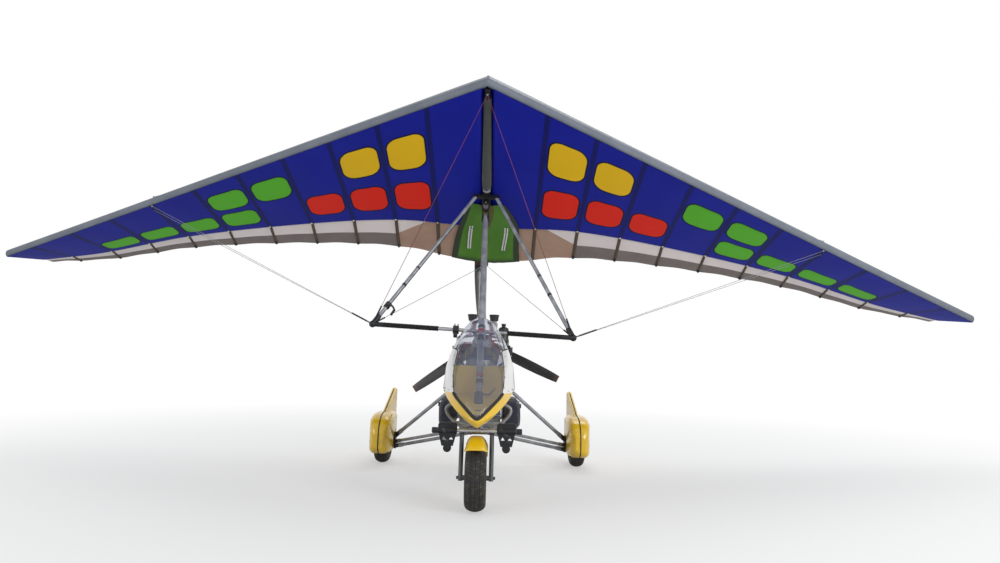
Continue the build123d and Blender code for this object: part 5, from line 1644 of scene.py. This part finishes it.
# %% Spat seams, fin shade and screws
strips, spat_screw_places, spat_screw_aims = [], [], []
for side, name in ((-1, "spat_left"), (1, "spat_right")):
    spat = surface_of(name)
    centre = Vector((side * 0.897, 0.458, 0.330))
    line = []
    for step in range(64):
        angle = radians(214 - 186 * step / 63)
        way = Vector((0, cos(angle), sin(angle)))
        place, facing = hit(spat, centre + way * 1.2, -way, 0.0004)
        if place is not None and (not line or (place - line[-1]).length < 0.35):
            line.append(place)
    # Where it climbs the fin's ridge, this strip is painted shade, not a seam.
    gather(strips, line_curve("strip", line, 0.0052, smooth=False, sides=1), "rubber_black")
    for y, z in ((0.16, 0.22), (0.20, 0.40), (0.42, 0.43), (0.66, 0.40), (0.70, 0.28), (0.60, 0.20),
                 (0.86, 0.44), (0.94, 0.56)):
        rays = [((side * 0.897 + face_side * 0.5, y, z), (-face_side, 0, 0)) for face_side in (-1, 1)]
        for place, facing in hits(spat, rays, 0.0002):
            spat_screw_places.append(place)
            spat_screw_aims.append(facing)
fit_out(join_pieces("spat_seams_and_fin_shade", strips), "trike")
spat_screws = heads("spat_screws", spat_screw_places, spat_screw_aims, 0.0055, 0.0018, 12, 0.6, "steel_wire")
fit_out(spat_screws, "trike")
print("spat screws:", len(spat_screw_places))

# %% [markdown]
# ## Front mudguard
# The guard is a short moulded arch that covers the top of the wheel. It is a sheet bent round
# the axle, with a rolled lip and flat crown, and a wall of three millimetres.

# %% Mudguard
axle_place = Vector((0, -1.469, 0.21))
guard_points, guard_columns, guard_rows = [], 24, 40
for row in range(guard_rows + 1):
    lean_back = -42 + 108 * row / guard_rows
    angle = radians(lean_back)
    half_width = 0.042 + 0.032 * min(1.0, abs(lean_back) / 42) ** 1.1
    for column in range(guard_columns + 1):
        share = 2 * column / guard_columns - 1
        crown = 0.2650 - 0.016 * abs(share) ** 5 + (0.0015 if row in (0, guard_rows) else 0)
        x = half_width * share
        guard_points.append(axle_place + Vector((x, sin(angle) * crown, cos(angle) * crown)))
guard = mesh_object("mudguard", guard_points, grid_faces(guard_rows + 1, guard_columns + 1, flip=True))
guard_wall = guard.modifiers.new("wall", "SOLIDIFY")
guard_wall.thickness = 0.003
guard_wall.offset = -1
fit_out(guard, "steering", "shell_yellow")
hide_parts("front_mudguard")
print("mudguard faces:", len(guard.data.polygons))

# %% Peg rubbers and axle caps
pegs, peg_lines = [], []
for side in (-1, 1):
    cap_outline = [(0.0135, 0), (0.0186, 0.0), (0.0192, 0.004), (0.0192, 0.036), (0.0175, 0.0385), (0.004, 0.0395)]
    gather(pegs, turned("peg", (side * 0.260, -1.422, 0.505), (side, 0, 0), cap_outline), "rubber_black")
    peg_lines.append([Vector((side * (0.263 + 0.004 * step), -1.422, 0.505)) for step in range(9)])
ring_sizes = {"Spacing": 0.0052, "Radius": 0.0188, "Bulge": 0.0012}
pegs.append(grow_along("peg_rings", "rings", peg_lines, ring_sizes, "rubber_black"))
fit_out(join_pieces("peg_rubbers", pegs), "steering")
print("peg rubbers done")

# %% [markdown]
# ## Wheel bolts
# Five bolts hold each rim to its hub. A rear wheel shows them on its outer side alone.

# %% Wheel bolts
bolt_circle = 0.021
for wheel, rim, tyre in (("front_wheel", "front_rim", "front_tyre"), ("rear_wheel_left", "rear_left_rim", "rear_left_tyre"),
                         ("rear_wheel_right", "rear_right_rim", "rear_right_tyre")):
    centre = wheel_middles[tyre][0]
    hub_face, bolt_places, bolt_aims = surface_of(rim), [], []
    for side in (-1, 1):
        if side * centre[0] < 0:  # a rear wheel's inner side faces its hub carrier
            continue
        rays = []
        for step in range(5):
            angle = 2 * pi * step / 5
            start = Vector(centre) + Vector((side * 0.3, sin(angle) * bolt_circle, cos(angle) * bolt_circle))
            rays.append((start, (-side, 0, 0)))
        for place, facing in hits(hub_face, rays, -0.0005):
            bolt_places.append(place)
            bolt_aims.append(Vector((side, 0, 0)))
    bolts = heads(wheel + "_bolts", bolt_places, bolt_aims, 0.0042, 0.0045, 6, 0.95, "steel_wire")
    fit_out(bolts, wheel)
    print(wheel, "bolts:", len(bolt_places))

# %% [markdown]
# ## Seats
# Each seat is a cushion and a back of foam under woven cloth. A block would look hard, so the
# form starts as a rounded cushion a little too small, and Blender's cloth swells it with air
# from inside. What swells is capped, so it stays in its place. The sewn channels are pressed in
# afterwards, and piping follows the widest line, found with rays.

# %% Padded forms


def soft_form(name, size, place, belly=0.0, boxy=0.42, across_steps=72, up_steps=36):
    """A closed crowned form: a rounded box whose sides pull in between its corners."""
    points = []

    def rounded(value, power):
        return abs(value) ** power * (1 if value >= 0 else -1)

    for row in range(1, up_steps):
        rise = -pi / 2 + pi * row / up_steps
        for column in range(across_steps):
            turn_angle = 2 * pi * column / across_steps
            u = rounded(cos(turn_angle), boxy) * rounded(cos(rise), 0.5)
            v = rounded(sin(turn_angle), boxy) * rounded(cos(rise), 0.5)
            w = rounded(sin(rise), 0.75)
            pull = 0.045
            spread = 1 + belly * max(0, -w)
            points.append(place @ Vector((u * (1 - pull * (1 - v * v)) * size[0] / 2 * spread,
                                          v * (1 - pull * (1 - u * u)) * size[1] / 2, w * size[2] / 2)))
    faces = ring_faces(up_steps - 2, across_steps)
    low, high = len(points), len(points) + 1
    points.append(place @ Vector((0, 0, -size[2] / 2)))
    points.append(place @ Vector((0, 0, size[2] / 2)))
    last = (up_steps - 2) * across_steps
    for column in range(across_steps):
        other = (column + 1) % across_steps
        faces.append((low, other, column))
        faces.append((high, last + column, last + other))
    return mesh_object(name, points, faces)


def remade(obj):
    """The object's mesh with its modifiers taken up, and none left."""
    mesh = bpy.data.meshes.new_from_object(obj.evaluated_get(bpy.context.evaluated_depsgraph_get()))
    obj.modifiers.clear()
    obj.data = mesh
    return mesh


def swell(obj, cap, voxel=0.006):
    """Fills a closed form with air for twenty frames. No point moves further than cap."""
    remesh = obj.modifiers.new("remesh", "REMESH")
    remesh.mode = "VOXEL"
    remesh.voxel_size = voxel
    remade(obj)
    start = [corner.co.copy() for corner in obj.data.vertices]
    cloth = obj.modifiers.new("cloth", "CLOTH")
    cloth.settings.quality = 5
    cloth.settings.use_pressure = True
    cloth.settings.uniform_pressure_force = 4.0
    cloth.settings.effector_weights.gravity = 0.0
    cloth.point_cache.frame_start, cloth.point_cache.frame_end = 1, 20
    for step in range(1, 21):
        scene.frame_set(step)
    swollen = obj.evaluated_get(bpy.context.evaluated_depsgraph_get()).to_mesh()
    moved = []
    for before, corner in zip(start, swollen.vertices):
        shift = corner.co - before
        moved.append(before + shift * min(1.0, cap / max(shift.length, 1e-6)))
    obj.modifiers.clear()
    obj.data.vertices.foreach_set("co", [part for point in moved for part in point])
    scene.frame_set(1)
    finer = obj.modifiers.new("finer", "SUBSURF")
    finer.levels = finer.render_levels = 1
    remade(obj)
    obj.data.polygons.foreach_set("use_smooth", [True] * len(obj.data.polygons))
    return obj


def press(obj, place, lines, depth=0.006, width=0.007):
    """Sewn channels: each line is (axis number, distance) in the pad's own frame, on its upper side."""
    back = place.inverted()
    for corner in obj.data.vertices:
        local = back @ corner.co
        if local.z <= 0:
            continue
        sunk = sum(exp(-(((local[axis] - at) / width) ** 2)) for axis, at in lines)
        local.z -= depth * min(1.0, sunk)
        corner.co = place @ local


print("soft helpers ready")

# %% Cushions and backs


def leaning(x, y, z, degrees):
    """The frame of a seat back: its own z looks forward, its y up."""
    return Matrix.Translation((x, y, z)) @ Matrix.Rotation(radians(90 - degrees), 4, "X")


cushion_size, cushion_channels = (0.374, 0.386, 0.058), [(0, -0.085), (0, 0.085)]
rear_cushion_size = (0.374, 0.364, 0.058)
pad_table = [  # name, frame, size, cap, channels, node it stands for
    ("front_cushion", Matrix.Translation((0, -0.492, 0.541)), cushion_size, 0.009, cushion_channels, "front_seat"),
    ("front_back", leaning(0, -0.279, 0.712, 10), (0.318, 0.312, 0.046), 0.008, [(1, -0.06), (1, 0.06)], None),
    ("rear_cushion", Matrix.Translation((0, -0.042, 0.666)), rear_cushion_size, 0.009, cushion_channels, "rear_seat"),
    ("rear_back", leaning(0, 0.078, 0.884, -4), (0.318, 0.400, 0.046), 0.008, [(1, -0.10), (1, 0.0), (1, 0.10)], None),
]
pads, pipings, stitch_lines = {}, [], []
for name, place, size, cap, channels, node_name in pad_table:
    pad = swell(soft_form(name, size, place), cap)
    press(pad, place, channels)
    fit_out(pad, "trike", "cloth_seat")
    pads[name] = pad
    if node_name:
        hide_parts(node_name)
    tree = BVHTree.FromObject(pad, bpy.context.evaluated_depsgraph_get())
    turn_only = place.to_3x3()
    rim = []
    for step in range(49):
        angle = 2 * pi * step / 48
        way = turn_only @ Vector((cos(angle), sin(angle), 0))
        found = hit(tree, place.translation + way * 0.5, -way)[0]
        if found is not None:
            rim.append(found - way * 0.0008)
    gather(pipings, line_curve("piping", rim, 0.0032, sides=2), "thread_grey")
    for axis, at in channels:
        rays = []
        span = size[1 - axis] * 0.44
        for step in range(25):
            local = Vector((0, 0, 0.3))
            local[axis] = at
            local[1 - axis] = -span + 2 * span * step / 24
            rays.append((place @ local, turn_only @ Vector((0, 0, -1))))
        stitch_lines.append([found + turn_only @ Vector((0, 0, 0.0006)) for found, facing in hits(tree, rays)])
fit_out(join_pieces("seat_piping", pipings), "trike")
seat_stitches = grow_along("seat_stitches", "steps", stitch_lines,
                           {"Spacing": 0.008, "Length": 0.0055, "Width": 0.0014, "Height": 0.0012}, "thread_grey")
fit_out(seat_stitches, "trike")
print("pads:", sorted(pads), " stitch faces:", len(seat_stitches.data.polygons))

# %% Lap belts
belt_pieces = []
for cushion, y in (("front_cushion", -0.40), ("rear_cushion", 0.03)):
    tree = BVHTree.FromObject(pads[cushion], bpy.context.evaluated_depsgraph_get())
    rays = [((-0.178 + 0.356 * step / 32, y, 1.5), (0, 0, -1)) for step in range(33)]
    path = [found + Vector((0, 0, 0.0035)) for found, facing in hits(tree, rays)]
    middle = path[len(path) // 2]
    gather(belt_pieces, webbing("belt", path, (0, 1, 0), 0.044), "web_black")
    gather(belt_pieces, rounded_box("buckle", middle + Vector((0, 0, 0.007)), (0.062, 0.048, 0.014)), "plastic_black")
    release_place = middle + Vector((0.012, 0, 0.0145))
    gather(belt_pieces, rounded_box("release", release_place, (0.022, 0.026, 0.004), 0.0015), "strap_red")
fit_out(join_pieces("lap_belts", belt_pieces), "trike")
print("belts on:", ["front_cushion", "rear_cushion"])

# %% [markdown]
# ## Side bags
# A soft bag hangs on each side under the seats. It is a closed shell that is fuller at the
# bottom, swollen like the seats but slack, with two straps round it and a long zip.

# %% Bags
bags, bag_straps, zip_paths = [], [], []
for side, name in ((-1, "bag_left"), (1, "bag_right")):
    place = Matrix.Translation((side * 0.266, -0.242, 0.533))
    bag = swell(soft_form(name, (0.112, 0.596, 0.266), place, belly=0.10, boxy=0.34), 0.010, 0.007)
    for corner in bag.data.vertices:
        local = place.inverted() @ corner.co
        crease = noise.noise(Vector((local.y * 7, local.z * 9, side * 3.0))) * 0.0035
        sag_in = -0.0035 * exp(-(((local.z - 0.085) / 0.02) ** 2))
        outward = 1 if local.x * side > 0 else -1
        corner.co.x += side * outward * (crease + sag_in) * (1 if abs(local.x) > 0.02 else 0)
    fit_out(bag, "trike", "cloth_bag")
    tree = BVHTree.FromObject(bag, bpy.context.evaluated_depsgraph_get())
    for y in (-0.405, -0.085):
        path = []
        for step in range(41):
            angle = 2 * pi * step / 40
            way = Vector((cos(angle), 0, sin(angle)))
            found = hit(tree, Vector((side * 0.266, y, 0.533)) + way * 0.6, -way)[0]
            if found is not None:
                path.append(found + way * 0.0014)
        gather(bag_straps, webbing("strap", path, (0, 1, 0), 0.028), "web_black")
        found = hit(tree, (side * 0.8, y, 0.60), (-side, 0, 0))[0]
        clip_place = found + Vector((side * 0.006, 0, 0))
        gather(bag_straps, rounded_box("clip", clip_place, (0.012, 0.040, 0.034), 0.003), "plastic_black")
    rays = [((side * 0.8, -0.487 + 0.49 * step / 40, 0.628), (-side, 0, 0)) for step in range(41)]
    zip_paths.append([found + Vector((side * 0.0012, 0, 0)) for found, facing in hits(tree, rays)])
    bags.append(bag)
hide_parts("panniers")
fit_out(join_pieces("bag_straps", bag_straps), "trike")
bag_zips = grow_along("bag_zips", "steps", zip_paths,
                      {"Spacing": 0.005, "Length": 0.003, "Width": 0.004, "Height": 0.010}, "zip_grey")
fit_out(bag_zips, "trike")
print("zip faces:", len(bag_zips.data.polygons))

# %% [markdown]
# ## Instruments
# The panel carries five round dials that face the pilot. Each is a dark disc in a bezel, with a
# needle and marks all round it, which Geometry Nodes set on a circle of points.

# %% Dials
dial_parts, mark_places, mark_aims = [], [], []
for x, z, radius in ((-0.105, 0.850, 0.040), (0, 0.850, 0.040), (0.105, 0.850, 0.040),
                     (-0.055, 0.765, 0.028), (0.055, 0.765, 0.028)):
    face_outline = [(radius - 0.001, 0), (radius - 0.001, 0.0012), (0.001, 0.0014)]
    bezel_outline = [(radius - 0.0045, 0.001), (radius - 0.0045, 0.0062), (radius - 0.002, 0.0092),
                     (radius + 0.002, 0.0092), (radius + 0.0035, 0.0068)]
    gather(dial_parts, turned("dial", (x, -0.8552, z), (0, 1, 0), face_outline), "dial_black")
    gather(dial_parts, turned("dial", (x, -0.8556, z), (0, 1, 0), bezel_outline), "plastic_black")
    lean = radians(35 + 900 * abs(x) + 400 * (z - 0.7))
    needle_line = [(x, -0.8528, z), (x + sin(lean) * radius * 0.7, -0.8528, z + cos(lean) * radius * 0.7)]
    gather(dial_parts, line_curve("dial", needle_line, 0.0009, smooth=False, sides=1, taper=[1.6, 0.5]), "fitting_orange")
    for step in range(15):
        angle = radians(-135 + 270 * step / 14)
        way = Vector((sin(angle), 0, cos(angle)))
        mark_places.append(Vector((x, -0.8534, z)) + way * radius * (0.66 if step % 2 == 0 else 0.72))
        mark_aims.append(way)
fit_out(join_pieces("dials", dial_parts), "trike")
marks = heads("dial_marks", mark_places, mark_aims, 0.0009, 0.0055, 6, 0.8, "dial_mark")
fit_out(marks, "trike")
print("dial marks:", len(mark_places))

# %% [markdown]
# ## Engine dressing
# A bare casting says little. Coolant hoses run up from the radiator, ignition leads from a coil
# box to the heads, a fuel line from the tank, and an oil tank stands at one side.

# %% Hoses, leads and oil tank
dressing, engine_front = [], 0.378


def dress(piece, finish_name):
    gather(dressing, piece, finish_name)


for side in (-1, 1):
    barrel_y = engine_front + (0.13 if side < 0 else 0.15)
    hose = [(side * 0.128, 0.350, 0.800), (side * 0.132, 0.352, 0.850), (side * 0.165, 0.370, 0.905),
            (side * 0.215, 0.420, 0.935), (side * 0.237, barrel_y, 0.952), (side * 0.237, barrel_y, 0.990)]
    dress(line_curve("hose", hose, 0.0125), "hose_black")
    for place in ((side * 0.128, 0.350, 0.800), (side * 0.237, barrel_y, 0.985)):
        clip_outline = [(0.0125, 0), (0.0142, 0.0005), (0.0142, 0.0075), (0.0125, 0.008)]
        dress(turned("clip", place, (0, 0, 1), clip_outline, 20), "steel_wire")
    for number, lead_y in enumerate((0.082, 0.196) if side < 0 else (0.104, 0.218)):
        head_y = engine_front + lead_y
        lead = [(side * 0.030, 0.470 + 0.02 * number, 1.168), (side * 0.075, 0.470 + 0.03 * number, 1.215),
                (side * 0.150, head_y, 1.205), (side * 0.224, head_y, 1.168), (side * 0.238, head_y, 1.118)]
        dress(line_curve("lead", lead, 0.0036), "lead_blue")
        boot_outline = [(0.008, 0), (0.0095, 0.003), (0.0088, 0.022), (0.0055, 0.030), (0.0038, 0.032)]
        dress(turned("boot", (side * 0.238, head_y, 1.098), (0, 0, 1), boot_outline, 20), "rubber_black")
dress(rounded_box("coil", (0, 0.480, 1.158), (0.070, 0.058, 0.044), 0.006), "plastic_black")
tank_place = Vector((0.196, 0.430, 1.128))
tank_outline = [(0.020, 0), (0.046, 0.003), (0.050, 0.010), (0.050, 0.020), (0.0485, 0.024), (0.0485, 0.120),
                (0.050, 0.124), (0.047, 0.134), (0.030, 0.146), (0.018, 0.150), (0.018, 0.160),
                (0.022, 0.162), (0.022, 0.176), (0.019, 0.180), (0.004, 0.181)]
dress(turned("oil_tank", tank_place, (0, 0, 1), tank_outline), "oil_tank")
dress(line_curve("bracket", [(0.150, 0.440, 1.140), (0.110, 0.450, 1.138), (0.090, 0.455, 1.120)], 0.006), "metal_black")
oil_line = [(0.196, 0.476, 1.150), (0.196, 0.520, 1.140), (0.150, 0.560, 1.150), (0.085, 0.580, 1.130)]
dress(line_curve("oil_line", oil_line, 0.0075), "hose_black")
fuel_line = [(0.100, 0.215, 0.600), (0.110, 0.262, 0.640), (0.120, 0.285, 0.760), (0.120, 0.300, 0.930),
             (0.085, 0.340, 1.100), (0.070, 0.430, 1.190)]
dress(line_curve("fuel_line", fuel_line, 0.0050), "strap_red")
fit_out(join_pieces("engine_dressing", dressing), "trike")

cover_places, cover_aims = [], []
for side in (-1, 1):
    for centre_y in ((0.460, 0.574) if side < 0 else (0.482, 0.596)):
        for shift_y, shift_z in ((-0.034, -0.040), (0.034, -0.040), (-0.034, 0.040), (0.034, 0.040)):
            cover_places.append(Vector((side * 0.2865, centre_y + shift_y, 1.045 + shift_z)))
            cover_aims.append(Vector((side, 0, 0)))
engine = surface_of("cylinders", "crankcase")
rays = [(place + aim * 0.3, -aim) for place, aim in zip(cover_places, cover_aims)]
set_places = [place for place, facing in hits(engine, rays, 0.0001)]
cover_bolts = heads("cover_bolts", set_places, cover_aims, 0.0055, 0.005, 6, 0.95, "steel_wire")
fit_out(cover_bolts, "trike")
print("cover bolts:", len(set_places))

# %% [markdown]
# ## Tubes under the nose
# Two light tubes curve out from the beam and up round the belly of the pod, as they show below
# the yellow shell on each side.

# %% Belly tubes
hoops, belly = [], surface_of("pod_lower")
for side in (-1, 1):
    root, facing = hit(belly, Vector((side * 0.60, -1.04, 0.655)), Vector((-side, 0, 0)))
    hoop_line = [(side * 0.034, -1.030, 0.452), (side * 0.110, -1.040, 0.480), (side * 0.180, -1.040, 0.528),
                 (side * 0.236, -1.040, 0.590), (side * 0.232, -1.040, 0.640), root]
    gather(hoops, line_curve("hoop", hoop_line, 0.0115), "tube_grey")
fit_out(join_pieces("belly_tubes", hoops), "trike")
print("belly tubes: 2")
